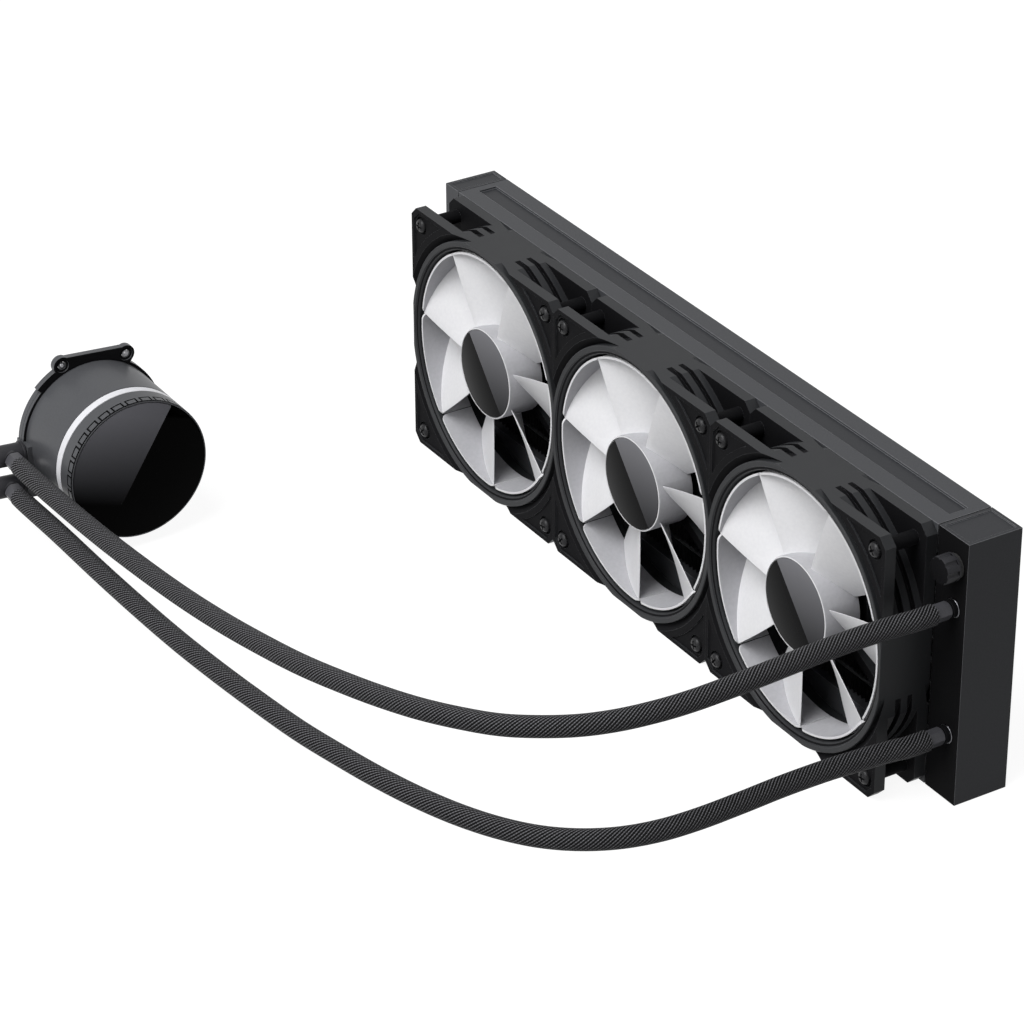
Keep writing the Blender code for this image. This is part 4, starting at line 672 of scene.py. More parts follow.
    # Sintered ferrite
    FERRITE = Finish(
        "sintered_ferrite", "magnet", "#343436", "#262628", 0.6, grain_mm=0.5, depth_mm=0.02)
    # Oil-filled sintered bronze
    BRONZE = Finish(
        "sintered_bronze", "bronze", "#B08D57", "#8C6C3E", 0.42, metallic=1.0, grain_mm=0.3)
    # Fibreglass board under a solder mask
    SOLDER_MASK = Finish(
        "solder_mask", "board_green", "#1F5238", "#163F2A", 0.4, grain_mm=3.0)
    # EPDM rubber
    RUBBER = Finish(
        "moulded_rubber", "rubber", "#262626", "#1C1C1C", 0.72, grain_mm=0.8, depth_mm=0.02)
    # Braided polyester over the rubber hose: its strands lie 1.8 mm apart along the hose
    SLEEVING = Braid(
        "braided_polyester", "hose_sleeve", "#747478", "#020202", 0.6,
        grain_mm=0.6, depth_mm=0.4, spread=0.08, specular=0.08)


def looking(matrix: Matrix, way: tuple[float, float, float] = (0.0, -1.0, 0.0)) -> Chooser:
    """Return a chooser of the faces that look one way once matrix places them."""
    turn = matrix.to_3x3()
    return lambda polygon: (turn @ polygon.normal).dot(Vector(way)) > FACING


def smooth_edges(piece: Object, width: float, segments: int, rim: int,
                 crease: float) -> None:
    """Round the sharp edges of a piece and shade it smooth.

    Args:
        piece: the piece to dress.
        width: the rounding's width.
        segments: steps across it.
        rim: material slot of the rounding, or -1 for its neighbours'.
        crease: edges that bend more than this, in degrees, stay crisp; 0 for none.
    """
    piece.data.shade_smooth()
    if crease:
        work = bmesh.new()
        work.from_mesh(piece.data)
        for line in work.edges:
            bend = math.degrees(line.calc_face_angle(0.0))
            line.smooth = not crease < bend < SHARP
        work.to_mesh(piece.data)
        work.free()
    if width > 0:
        rounding = piece.modifiers.new("Rounded edges", "BEVEL")
        rounding.width = width * MM
        rounding.segments = segments
        rounding.limit_method = "ANGLE"
        rounding.angle_limit = math.radians(SHARP)
        rounding.miter_outer = "MITER_ARC"
        rounding.harden_normals = True
        rounding.material = rim
    else:
        piece.data.set_sharp_from_angle(angle=math.radians(SHARP))


def place(name: str, form: Form, look: Finish, matrix: Matrix, body: Body = Body.COOLER,
          nodes: tuple[str, ...] = (), edge: float = 0.0, segments: int = 2,
          accent: tuple[Finish, Chooser] | None = None, rim: Finish | None = None,
          square: bool = False, crease: float = 0.0) -> Object:
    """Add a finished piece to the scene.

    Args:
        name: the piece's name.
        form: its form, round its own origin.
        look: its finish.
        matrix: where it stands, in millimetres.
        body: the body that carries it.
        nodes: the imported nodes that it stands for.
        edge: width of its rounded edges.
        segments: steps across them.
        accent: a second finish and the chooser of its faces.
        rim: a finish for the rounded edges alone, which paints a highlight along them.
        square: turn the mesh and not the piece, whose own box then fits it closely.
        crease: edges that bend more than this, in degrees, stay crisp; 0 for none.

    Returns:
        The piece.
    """
    mesh = mesh_of(form)
    mesh.name = name
    mesh.materials.clear()
    mesh.materials.append(look.material())
    if accent:
        mesh.materials.append(accent[0].material())
        for polygon in mesh.polygons:
            polygon.material_index = int(accent[1](polygon))
    if rim:
        mesh.materials.append(rim.material())
    if square:
        mesh.transform(matrix.to_3x3().to_4x4())
        matrix = Matrix.Translation(matrix.translation)
    piece = add_object(name, mesh)
    located = matrix.copy()
    located.translation = matrix.translation * MM
    piece.matrix_world = located
    smooth_edges(piece, edge, segments, len(mesh.materials) - 1 if rim else -1, crease)
    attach(piece, body.value)
    if nodes:
        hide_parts(*nodes)
    triangles = sum(len(p.vertices) - 2 for p in mesh.polygons)
    LOG.info("%s: %d triangles before rounding", name, triangles)
    return piece


def at(x: float, y: float, z: float, turn: Matrix | None = None) -> Matrix:
    """Return a place measured from the middle fan's axis, with an optional turn."""
    return Matrix.Translation(Vector((x, y, z)) + ORIGIN) @ (turn or Matrix.Identity(4))


TO_X = Matrix.Rotation(math.pi / 2, 4, "Y")         # local Z points to +X
TO_LEFT = Matrix.Rotation(-math.pi / 2, 4, "Y")     # local Z points to -X
TO_Y = Matrix.Rotation(-math.pi / 2, 4, "X")        # local Z points to +Y
OUT_OF_FRONT = Matrix.Rotation(math.pi / 2, 4, "X")     # local Z points to -Y
AXES_ON = Matrix(((0, 0, 1, 0), (1, 0, 0, 0), (0, 1, 0, 0), (0, 0, 0, 1)))  # X, Y, Z to Y, Z, X


@dataclass
class Radiator:
    """The radiator: two tanks, two side channels, header plates and the brazed core."""

    core_left: float = -181.0
    core_length: float = 361.0
    depth: float = 26.0
    height: float = 120.0
    left_length: float = 11.0
    right_length: float = 19.5
    header: float = 1.5
    wall: float = 1.8
    lip: float = 0.4            # tank's rim outside the header plate's edge
    panel_border: float = 1.7
    panel_sink: float = 0.5
    bores: tuple[tuple[float, float], ...] = (      # height over the middle, and radius
        (28.6, 2.4), (-29.4, 2.4), (47.7, 3.3),
    )
    channel: float = 13.0
    channel_wall: float = 1.2
    channel_web: float = 2.2
    groove_width: float = 9.1
    groove_inset: float = 4.2
    groove_sink: float = 1.0
    screw_hole: float = 2.0
    screw_drop: float = 7.5     # screw holes below the channel's outer face
    tooling_hole: float = 0.8
    tooling_place: tuple[float, float] = (1.7, -3.2)
    tube_count: int = 8
    tube_thickness: float = 2.0
    tube_reach: float = 0.8     # how far the tubes stand into the tanks
    core_depth: float = 20.0
    fin_pitch: float = 1.4      # one half wave
    fin_sheet: float = 0.14
    edge: float = 0.55

    @property
    def core_right(self) -> float:
        """Return the right header's place."""
        return self.core_left + self.core_length

    @property
    def tube_pitch(self) -> float:
        """Return the height from one flat tube to the next."""
        free = self.height - 2 * (self.channel + SEAT) - SEAT
        return (free + self.tube_thickness) / (self.tube_count + 1)

    def tube_heights(self) -> list[float]:
        """Return each flat tube's height over the radiator's middle."""
        return [self.tube_pitch * (k - (self.tube_count - 1) / 2) for k in range(self.tube_count)]

    def tank_mesh(self, length: float, bores: list[tuple[float, float, float]]) -> Mesh:
        """Make an end tank that runs along X from its header.

        Args:
            length: the tank's length.
            bores: x, height and radius of each hole in its front.

        Returns:
            The mesh.
        """
        half, wall, lip, border = self.height / 2, self.wall, self.lip, self.panel_border
        hollow = box((-WELL_PAST, length - wall), (wall, self.depth - wall),
                     (-half + 2 * wall, half - 2 * wall))
        plate = box((-WELL_PAST, 0), (lip, self.depth - lip), (-half + lip, half - lip))
        panels = together(*(
            box((border - self.header, length - border), (border, self.depth - border),
                (low, low + WELL_PAST))
            for low in (half - self.panel_sink, self.panel_sink - half - WELL_PAST)
        ))
        holes = [together(*(
            moved(rod(radius, -PAST, wall + PAST, Sides.ROUND),
                  Matrix.Translation((x, 0, z)) @ TO_Y)
            for x, z, radius in bores
        ))] if bores else []
        return carve(box((-self.header, length), (0, self.depth), (-half, half)),
                     hollow, plate, panels, *holes)

    def channel_mesh(self) -> Mesh:
        """Make a side channel with its outer web on top at height 0."""
        middle, wall = self.depth / 2, self.channel_wall
        hollow = box((-WELL_PAST, self.core_length + WELL_PAST), (wall, self.depth - wall),
                     (wall - self.channel, -self.channel_web))
        groove = box((self.groove_inset, self.core_length - self.groove_inset),
                     (middle - self.groove_width / 2, middle + self.groove_width / 2),
                     (-self.groove_sink, WELL_PAST))
        screw = moved(rod(self.screw_hole, -PAST, self.depth + PAST, Sides.HOLE), TO_Y)
        tooling = moved(rod(self.tooling_hole, -PAST, wall + PAST, Sides.HOLE), TO_Y)
        holes = together(shifted(tooling, x=self.tooling_place[0], z=self.tooling_place[1]), *(
            shifted(screw, x=fan * FAN_PITCH + side * HOLE_REACH - self.core_left,
                    z=-self.screw_drop)
            for fan in (-1, 0, 1) for side in (-1, 1)
        ))
        return carve(box((SEAT, self.core_length - SEAT), (0, self.depth), (-self.channel, 0)),
                     hollow, groove, holes)

    def in_groove(self, polygon: MeshPolygon) -> bool:
        """Tell whether a face is the floor of a channel's groove."""
        height = polygon.center.z / MM
        return -self.channel_web < height < -self.groove_sink / 2 and polygon.normal.z > FACING

    def tube_bank(self) -> Builder:
        """Make the flat water tubes with their round noses."""
        nose = self.tube_thickness / 2
        flat = self.core_depth / 2 - nose
        section = (arc(nose, -math.pi / 2, math.pi / 2, 8, (flat, 0.0))
                   + arc(nose, math.pi / 2, 3 * math.pi / 2, 8, (-flat, 0.0)))
        reach = self.header + SEAT + self.tube_reach
        pipe = moved(prism(section, -reach, self.core_length + reach), AXES_ON)
        return together(*(shifted(pipe, z=z) for z in self.tube_heights()))

    def fin_strip(self, rise: float) -> Builder:
        """Make one folded strip that reaches rise above and below its middle.

        Args:
            rise: half the gap between two tubes.

        Returns:
            The builder.
        """
        folds = round((self.core_length - 2 * SEAT) / self.fin_pitch)
        step = (self.core_length - 2 * SEAT) / folds
        half = self.fin_sheet / 2

        def build(work: BMesh) -> None:
            """Add the strip to work."""
            crests = [(SEAT + step * k, (rise - half) * (-1) ** k) for k in range(folds + 1)]
            loop = [(x, z + half) for x, z in crests] + [(x, z - half) for x, z in crests[::-1]]
            sides = [
                [work.verts.new((x * MM, y * MM, z * MM)) for x, z in loop]
                for y in (-self.core_depth / 2, self.core_depth / 2)
            ]
            skin(work, sides)
            for side in sides:
                close(work, side)
        return build

    def build(self) -> None:
        """Build and dress the radiator."""
        middle = self.height / 2
        core = at(self.core_left, self.depth / 2, middle)
        place("radiator_tubes", self.tube_bank(), Looks.CORE_COAT, core,
              nodes=("radiator_core",))
        heights = self.tube_heights()
        rows = [heights[0] - self.tube_pitch / 2] + [z + self.tube_pitch / 2 for z in heights]
        strip = self.fin_strip((self.tube_pitch - self.tube_thickness) / 2)
        fins = place("radiator_fins", together(*(shifted(strip, z=z) for z in rows)),
                     Looks.FIN_STOCK, core, nodes=("radiator_core",))
        fins.data.shade_flat()

        inner = self.header + SEAT
        bores = [(PORT_X - self.core_right - inner, z, radius) for z, radius in self.bores]
        right = at(self.core_right + inner, 0, middle)
        left = at(self.core_left - inner, self.depth, middle, Matrix.Rotation(math.pi, 4, "Z"))
        # The left tank's front faces take the paler channel paint as painted light.
        # The right tank's front faces take painted shade, near black.
        for side, where, length, holes, face in (
            ("right", right, self.right_length, bores, Looks.RADIATOR_PAINTED_SHADE),
            ("left", left, self.left_length, [], Looks.CHANNEL_PAINT_AND_PAINTED_LIGHT),
        ):
            place(f"tank_{side}_cast", self.tank_mesh(length - inner, holes),
                  Looks.RADIATOR_PAINT, where, nodes=(f"tank_{side}",), edge=self.edge,
                  segments=3, accent=(face, looking(where)), rim=Looks.RADIATOR_PAINTED_HIGHLIGHT)
        top = at(self.core_left, 0, self.height)
        bottom = at(self.core_left, self.depth, 0, Matrix.Rotation(math.pi, 4, "X"))
        # The channels' rounded edges, like the tanks', carry a painted highlight.
        for name, where in (("top", top), ("bottom", bottom)):
            place(f"channel_{name}_folded", self.channel_mesh(), Looks.CHANNEL_PAINT_AND_PAINTED_LIGHT, where,
                  nodes=(f"channel_{name}",), edge=0.4, segments=3,
                  accent=(Looks.RADIATOR_PAINT, self.in_groove), rim=Looks.RADIATOR_PAINTED_HIGHLIGHT)


@dataclass
class Ports:
    """The radiator's two hose barbs with their hex sleeves, and the filler cap."""

    heights: tuple[tuple[str, float], ...] = (("upper", 88.6), ("lower", 30.6))
    bore: float = 1.6
    radius: float = 2.4
    stem: float = 3.8           # how far a barb stands into the tank
    foot_radius: float = 2.6    # neck inside the plated ring
    collar_radius: float = 3.7
    flange_radius: float = 4.3
    flange: float = 2.4
    ring: float = 0.4           # plated ring at the flange's foot
    sleeve_length: float = 7.0
    sleeve_flats: float = 6.6
    filler_z: float = 107.7
    filler_radius: float = 5.9
    filler_length: float = 8.6
    filler_seat: float = 1.6
    filler_stem: tuple[float, float] = (3.0, 4.8)   # radius and length
    flutes: int = 8
    flute_radius: float = 1.5
    flute_offset: float = 0.85  # flute's axis outside the cap's side
    flute_start: float = 1.2

    def barb(self) -> Builder:
        """Make a barb: Z runs out of the tank."""
        top, r, foot = SEAT + self.flange, self.collar_radius, SEAT + self.ring + 0.1
        end = top + SEAT + self.sleeve_length
        return turned([
            (self.bore, -self.stem), (self.radius - SEAT, -self.stem), (self.radius - SEAT, SEAT),
            (self.foot_radius, SEAT), (self.foot_radius, foot), (r, foot), (r, top - 0.2),
            (r - 0.2, top), (self.radius, top), (self.radius, end), (self.bore, end),
        ], Sides.TURNED)

    def plated_ring(self) -> Builder:
        """Make the plated ring at a barb's foot, with broken edges."""
        low, top, r = SEAT, SEAT + self.ring, self.flange_radius - 0.2
        inner = self.foot_radius + 0.1
        return turned([
            (inner, low), (r - 0.15, low), (r, low + 0.15), (r, top - 0.15), (r - 0.15, top),
            (inner, top),
        ], Sides.TURNED)

    def filler_mesh(self) -> Mesh:
        """Make the fluted filler cap: Z runs out of the tank."""
        seat, top, r = self.filler_seat, self.filler_length, self.filler_radius
        stem, depth = self.filler_stem
        head = turned([
            (0, -depth), (stem, -depth), (stem, seat), (r - 0.3, seat), (r, seat + 0.3),
            (r, top - 1.0), (r - 0.3, top - 0.3), (r - 1.0, top), (0, top),
        ], Sides.CAP)
        flute = rod(self.flute_radius, seat + self.flute_start, top + WELL_PAST, Sides.BORE)
        return carve(head, round_z(shifted(flute, x=r + self.flute_offset), self.flutes))

    def build(self) -> None:
        """Build and dress the ports."""
        for name, z in self.heights:
            where = at(PORT_X, 0, z, OUT_OF_FRONT)
            # The turned barb is painted near black as painted shade.
            place(f"barb_{name}_turned", self.barb(), Looks.FRAME_PAINTED_SHADE, where,
                  nodes=(f"barb_{name}",))
            place(f"barb_{name}_ring", self.plated_ring(), Looks.PLATED_BRASS, where,
                  nodes=(f"barb_{name}",))
            place(f"radiator_sleeve_{name}_hex",
                  hex_sleeve(self.sleeve_flats, self.sleeve_length, self.radius + SEAT),
                  Looks.SLEEVE_NYLON, at(PORT_X, -(2 * SEAT + self.flange), z, OUT_OF_FRONT),
                  nodes=(f"radiator_sleeve_{name}",), edge=0.3)
        cap = at(PORT_X, 0, self.filler_z, OUT_OF_FRONT)
        # The cap's front faces are painted near black as painted shade.
        place("filler_cap_fluted", self.filler_mesh(), Looks.GREY_NYLON, cap,
              nodes=("filler_cap",), accent=(Looks.FRAME_PAINTED_SHADE, looking(cap)))


def hex_sleeve(flats: float, length: float, bore: float) -> Mesh:
    """Make a hex sleeve with chamfered ends that starts at height 0.

    Args:
        flats: size across the flats.
        length: the sleeve's length.
        bore: radius of the hole through it.

    Returns:
        The mesh.
    """
    corner = flats / 2 / math.cos(math.pi / 6)
    body = prism(arc(corner, 0.0, math.tau, 6)[:-1], 0, length)
    chamfer = turned([
        (0, -0.1), (flats / 2 - 0.2, -0.1), (corner + 0.1, 0.7), (corner + 0.1, length - 0.7),
        (flats / 2 - 0.2, length + 0.1), (0, length + 0.1),
    ], Sides.SLEEVE)
    hole = rod(bore, -PAST, length + PAST, Sides.SLEEVE)
    return cut(body, (Cut.KEEP, chamfer), (Cut.REMOVE, hole))


def soft_disc(radius: float, bottom: float, top: float, rim: tuple[float, float],
              steps: int) -> Mesh:
    """Make a disc with a soft upper rim.

    Args:
        radius: the disc's radius.
        bottom: lower height.
        top: upper height.
        rim: where the rounding starts, and how near the corner its middle lies.
        steps: number of sides.

    Returns:
        The mesh.
    """
    start, middle = rim
    return mesh_of(turned([
        (0, bottom), (radius, bottom), (radius, top - start), (radius - middle, top - middle),
        (radius - start, top), (0, top),
    ], steps))


@dataclass
class Fan:
    """One fan: a moulded frame with its screws, a seven-bladed rotor and a gloss hub disc."""

    number: int
    x: float
    body: Body
    size: float = 120.0
    depth: float = 25.0
    corner: float = 4.0
    plate: float = 5.2
    barrel: float = 64.0
    bore: float = 57.0
    land: float = 58.6
    land_sink: float = 0.7
    ring: float = 61.3
    groove: float = 64.6
    groove_depth: float = 3.2
    rear_groove_depth: float = 2.0
    outer_groove: float = 61.8
    outer_grooves: tuple[tuple[float, float], ...] = ((8.1, 10.5), (13.7, 16.5))    # heights
    pocket_radius: float = 67.6
    pocket_border: float = 1.8
    pocket_sink: float = 0.7
    counterbore: float = 4.3
    counterbore_depth: float = 2.2
    post: float = 3.1
    motor_radius: float = 21.0
    motor_floor: float = 2.4
    bearing_tube: tuple[float, float] = (3.7, 5.0)      # radii
    bearing_top: float = 14.9
    bearing_floor: float = 0.6
    strut_start: tuple[float, float] = (19.5, 28.0)     # radius, and angle in degrees
    strut_end: tuple[float, float] = (58.5, 52.0)
    strut_width: float = 4.6
    strut_height: float = 3.6
    screw_head: tuple[float, float] = (3.3, 2.9)        # radius and height
    screw_shank: float = 1.7
    recess: tuple[float, float, float] = (2.0, 0.42, 1.3)   # arm, half its width, and depth
    hub: float = 21.2
    hub_front: float = 23.2
    hub_rear: float = 6.2
    hub_wall: float = 1.5
    boss: tuple[float, float] = (1.8, 4.2)              # radii
    boss_rear: float = 15.4
    cap_radius: float = 20.3
    cap_thickness: float = 0.9
    blades: int = 7
    blade_start: float = 121.1
    blade_sweep: float = 2.5    # degrees from hub to tip
    blade_width: tuple[float, float] = (46.0, 37.0)     # degrees at hub and tip
    blade_front: tuple[float, float] = (20.6, 22.2)     # heights at hub and tip
    blade_rear: float = 7.6
    blade_thickness: float = 1.1
    camber: float = 0.22
    tip_radius: float = 55.9
    tip_thickness: float = 1.0
    tip_front: float = 23.1
    tip_rear: float = 7.2
    tip_gap: float = 0.5        # degrees between two tip walls
    tip_corner: float = 2.6
    tip_corner_angle: float = 3.0
    meshes: ClassVar[dict[str, Mesh]] = {}

    @property
    def hole_places(self) -> Outline:
        """Return the four screw places."""
        return [(x * HOLE_REACH, y * HOLE_REACH) for x, y in ((1, 1), (-1, 1), (-1, -1), (1, -1))]

    def duct_section(self) -> Outline:
        """Return the section of the duct's wall, from its rear face to its front."""
        front, plate = self.depth, self.plate
        grooves = [
            point for low, high in self.outer_grooves
            for point in ((self.barrel, low), (self.outer_groove, low),
                          (self.outer_groove, high), (self.barrel, high))
        ]
        return [
            (self.bore + 0.8, 0.0), (self.ring, 0.0), (self.ring, self.rear_groove_depth),
            (self.groove, 0.0), (self.size, 0.0), (self.size, plate), (self.barrel, plate),
            *grooves, (self.barrel, front - plate), (self.size, front - plate),
            (self.size, front), (self.groove, front),
            (self.ring, front - self.groove_depth), (self.ring, front - 0.35),
            (self.ring - 0.35, front), (self.land + 0.5, front - 0.1),
            (self.land, front - self.land_sink),
            (self.bore + 0.6, front - self.land_sink - 0.25),
            (self.bore + 0.1, front - self.land_sink - 1.0),
            (self.bore, front - self.land_sink - 2.0), (self.bore, 0.8),
        ]

    def pocket(self) -> Outline:
        """Return the sunk triangle of the corner at +X and +Y."""
        edge = self.size / 2 - self.pocket_border
        side = math.sqrt(self.pocket_radius ** 2 - edge ** 2)
        reach = arc(self.pocket_radius, math.atan2(edge, side), math.atan2(side, edge), 16)
        return reach + [(edge, edge - self.corner), (edge - self.corner, edge)]

    def in_shade(self, polygon: MeshPolygon) -> bool:
        """Tell whether a face of the frame takes painted shade, near black: its front but the ring,
        grooves and posts.
        """
        centre, normal = polygon.center / MM, polygon.normal
        radius = centre.xy.length
        if normal.z > FACING:
            return not self.land < radius < self.ring
        if not self.plate < centre.z < self.depth - self.plate:
            return False
        if any(math.dist(centre.xy, hole) < self.post + 0.1 for hole in self.hole_places):
            return True
        slanted = max(abs(normal.x), abs(normal.y)) < 0.99
        return slanted and self.outer_groove - 0.3 < radius < self.barrel - 0.1

    def strut(self) -> Outline:
        """Return one slanted strut from the motor base to the duct."""
        a, b = (
            Vector((radius * math.cos(math.radians(turn)), radius * math.sin(math.radians(turn))))
            for radius, turn in (self.strut_start, self.strut_end)
        )
        side = (b - a).normalized().orthogonal() * (self.strut_width / 2)
        return [tuple(a - side), tuple(b - side), tuple(b + side), tuple(a + side)]

    def motor_base(self) -> Mesh:
        """Make the motor's base with its bearing tube and struts."""
        r, floor = self.motor_radius, self.motor_floor
        low, top = self.bearing_floor, self.bearing_top
        inner, outer = self.bearing_tube
        seat = turned([
            (0, 0), (r - 0.4, 0), (r, 0.4), (r, floor), (outer, floor), (outer, top), (inner, top),
            (inner, low), (0, low),
        ], Sides.TURNED)
        return cut(seat, (Cut.JOIN, round_z(prism(self.strut(), 0, self.strut_height), 4)),
                   (Cut.REMOVE, tube(outer, r - 0.6, floor, self.depth, Sides.TURNED)))

    def frame_mesh(self) -> Mesh:
        """Make the frame: Z runs from its rear face to its front."""
        half, trim = self.size / 2, self.size / 2 - self.corner
        square = [(half, -trim), (half, trim), (trim, half), (-trim, half),
                  (-half, trim), (-half, -trim), (-trim, -half), (trim, -half)]
        seat, over = self.depth - self.counterbore_depth, self.depth + WELL_PAST
        posts = spread(rod(self.post, PAST, seat - PAST, Sides.BORE), self.hole_places)
        pockets = round_z(prism(self.pocket(), self.depth - self.pocket_sink, over), 4)
        bores = spread(rod(self.counterbore, seat, over, Sides.BORE), self.hole_places)
        return cut(prism(square, 0, self.depth),
                   (Cut.KEEP, turned(self.duct_section(), Sides.DUCT)), (Cut.JOIN, posts),
                   (Cut.REMOVE, pockets), (Cut.REMOVE, bores), (Cut.JOIN, self.motor_base()))

    def screws_mesh(self) -> Mesh:
        """Make the four pan-head screws, each turned its own way, with their cross recesses."""
        seat, r = self.depth - self.counterbore_depth + SEAT, self.screw_head[0]
        top, shank = seat + self.screw_head[1], self.screw_shank
        head = turned([
            (0, seat - 2), (shank, seat - 2), (shank, seat), (r, seat), (r, seat + 1.3),
            (r - 0.2, seat + 1.9), (r - 0.8, seat + 2.5), (r - 1.7, top), (0, top),
        ], Sides.ROUND)
        arm, half, deep = self.recess
        bars = [
            box((-x, x), (-y, y), (top - deep, top + PAST)) for x, y in ((arm, half), (half, arm))
        ]
        screw = carve(head, cut(bars[0], (Cut.JOIN, bars[1])))
        return mesh_of(together(*(
            moved(stamped(screw),
                  Matrix.Translation((x, y, 0)) @ Matrix.Rotation(0.6 + 0.9 * k, 4, "Z"))
            for k, (x, y) in enumerate(self.hole_places)
        )))

    def blade_point(self, span: float, chord: float) -> Vector:
        """Return a point of a blade's middle surface, span and chord from 0 to 1."""
        inner = self.hub - 0.8
        radius = inner + (self.tip_radius - self.tip_thickness / 2 - inner) * span
        width, front = (
            at_hub + (at_tip - at_hub) * span
            for at_hub, at_tip in (self.blade_width, self.blade_front)
        )
        angle = math.radians(self.blade_start + self.blade_sweep * (1 - span) - width * chord)
        fall = chord * (1 - self.camber) + self.camber * chord ** 2
        return Vector((radius * math.cos(angle), radius * math.sin(angle),
                       front + (self.blade_rear - front) * fall))

    def blade(self, work: BMesh) -> None:
        """Add one cambered blade with a round nose and a thin tail to work."""
        spans, chords, step = 14, 22, 1e-3
        sections = []
        for i in range(spans + 1):
            upper, lower = [], []
            for j in range(chords + 1):
                span, chord = i / spans, j / chords
                point = self.blade_point(span, chord)
                along = self.blade_point(span, chord + step) - point
                across = self.blade_point(span + step, chord) - point
                normal = across.cross(along).normalized()
                belly = 0.6 + 0.9 * chord * (1 - chord) - 0.2 * chord
                thick = self.blade_thickness * min(1.0, 0.35 + 8 * chord) * belly
                upper.append(point + normal * thick / 2)
                lower.append(point - normal * thick / 2)
            sections.append([work.verts.new(p * MM) for p in upper + lower[::-1]])
        skin(work, sections)
        close(work, sections[0])
        close(work, sections[-1])

    def tip_wall(self, work: BMesh) -> None:
        """Add the curved wall along one blade's tip, with round front corners, to work."""
        first = self.blade_start + self.tip_gap / 2
        width = 360 / self.blades - self.tip_gap
        corner = self.tip_corner_angle
        stops = [corner * (k / 8) ** 1.6 for k in range(9)]
        stops += [corner + (width - 2 * corner) * k / 16 for k in range(1, 16)]
        stops += [width - s for s in stops[8::-1]]
        columns = []
        for stop in stops:
            edge = min(stop, width - stop, corner)
            drop = self.tip_corner * (1 - math.sqrt(max(0.0, 1 - (1 - edge / corner) ** 2)))
            angle = math.radians(first - stop)
            inner, front = self.tip_radius - self.tip_thickness, self.tip_front - drop
            columns.append([
                work.verts.new((radius * MM * math.cos(angle), radius * MM * math.sin(angle),
                                height * MM))
                for radius, height in ((inner, self.tip_rear), (inner, front),
                                       (self.tip_radius, front), (self.tip_radius, self.tip_rear))
            ])
        skin(work, columns)
        close(work, columns[0])
        close(work, columns[-1])

    def rotor_mesh(self) -> Mesh:
        """Make the rotor: a hub cup, its blades and their tip walls."""
        r, front, lip = self.hub, self.hub_front, self.hub_front - self.cap_thickness
        inside, roof, seat = r - self.hub_wall, lip - self.hub_wall, self.cap_radius + SEAT
        hole, boss = self.boss
        hub = turned([
            (inside, self.hub_rear), (r, self.hub_rear), (r, front - 0.5), (r - 0.15, front - 0.15),
            (r - 0.5, front), (seat, front), (seat, lip), (0, lip), (0, roof - self.hub_wall),
            (hole, roof - self.hub_wall), (hole, self.boss_rear), (boss, self.boss_rear),
            (boss, roof), (inside, roof),
        ], Sides.HUB)
        sector = cut(self.blade, (Cut.JOIN, self.tip_wall))
        return cut(hub, (Cut.JOIN, round_z(stamped(sector), self.blades)))

    def in_rotor_painted_shade(self, polygon: MeshPolygon) -> bool:
        """Tell whether a face of the rotor takes painted shade: the hub's side or a tip wall's inner
        side.
        """
        centre, normal = polygon.center / MM, polygon.normal
        radius = centre.xy.length
        outward = centre.xy.normalized().dot(normal.xy)
        on_hub = abs(radius - self.hub) < 0.3 and outward > 0.8
        on_wall = abs(radius - self.tip_radius + self.tip_thickness) < 0.3 and outward < -0.8
        return on_hub or on_wall

    def cap_mesh(self) -> Mesh:
        """Make the hub's gloss disc, which stands a little proud."""
        return soft_disc(self.cap_radius, self.hub_front - self.cap_thickness + SEAT,
                         self.hub_front + 0.1, (0.35, 0.1), Sides.HUB)

    def build(self) -> None:
        """Build and dress the fan; the three fans share their meshes' form."""
        if not Fan.meshes:
            Fan.meshes.update(frame=self.frame_mesh(), screws=self.screws_mesh(),
                              rotor=self.rotor_mesh(), cap=self.cap_mesh())
        where = at(self.x, -SEAT, self.size / 2, OUT_OF_FRONT)
        fan = f"fan{self.number}"
        # The frame's front, grooves and posts are painted near black as painted shade.
        # The frame's rounded edges carry a painted highlight.
        place(f"{fan}_moulded_frame", Fan.meshes["frame"].copy(), Looks.FRAME_PBT, where,
              nodes=(f"{fan}_frame",), edge=0.3,
              accent=(Looks.FRAME_PAINTED_SHADE, self.in_shade), rim=Looks.FRAME_PAINTED_HIGHLIGHT, crease=12.0)
        place(f"{fan}_screws", Fan.meshes["screws"].copy(), Looks.SCREW_STEEL, where,
              nodes=(f"{fan}_frame",))
        # The hub's side and the tip walls' inner sides are painted greyer as painted shade.
        place(f"{fan}_blades", Fan.meshes["rotor"].copy(), Looks.FROSTED, where, self.body,
              nodes=(f"{fan}_rotor",), accent=(Looks.FROSTED_PAINTED_SHADE, self.in_rotor_painted_shade))
        # The hub disc's two halves are a painted reflection.
        place(f"{fan}_hub_disc", Fan.meshes["cap"].copy(), Looks.HUB_PAINTED_REFLECTION, where, self.body,
              nodes=(f"{fan}_hub_cap",))


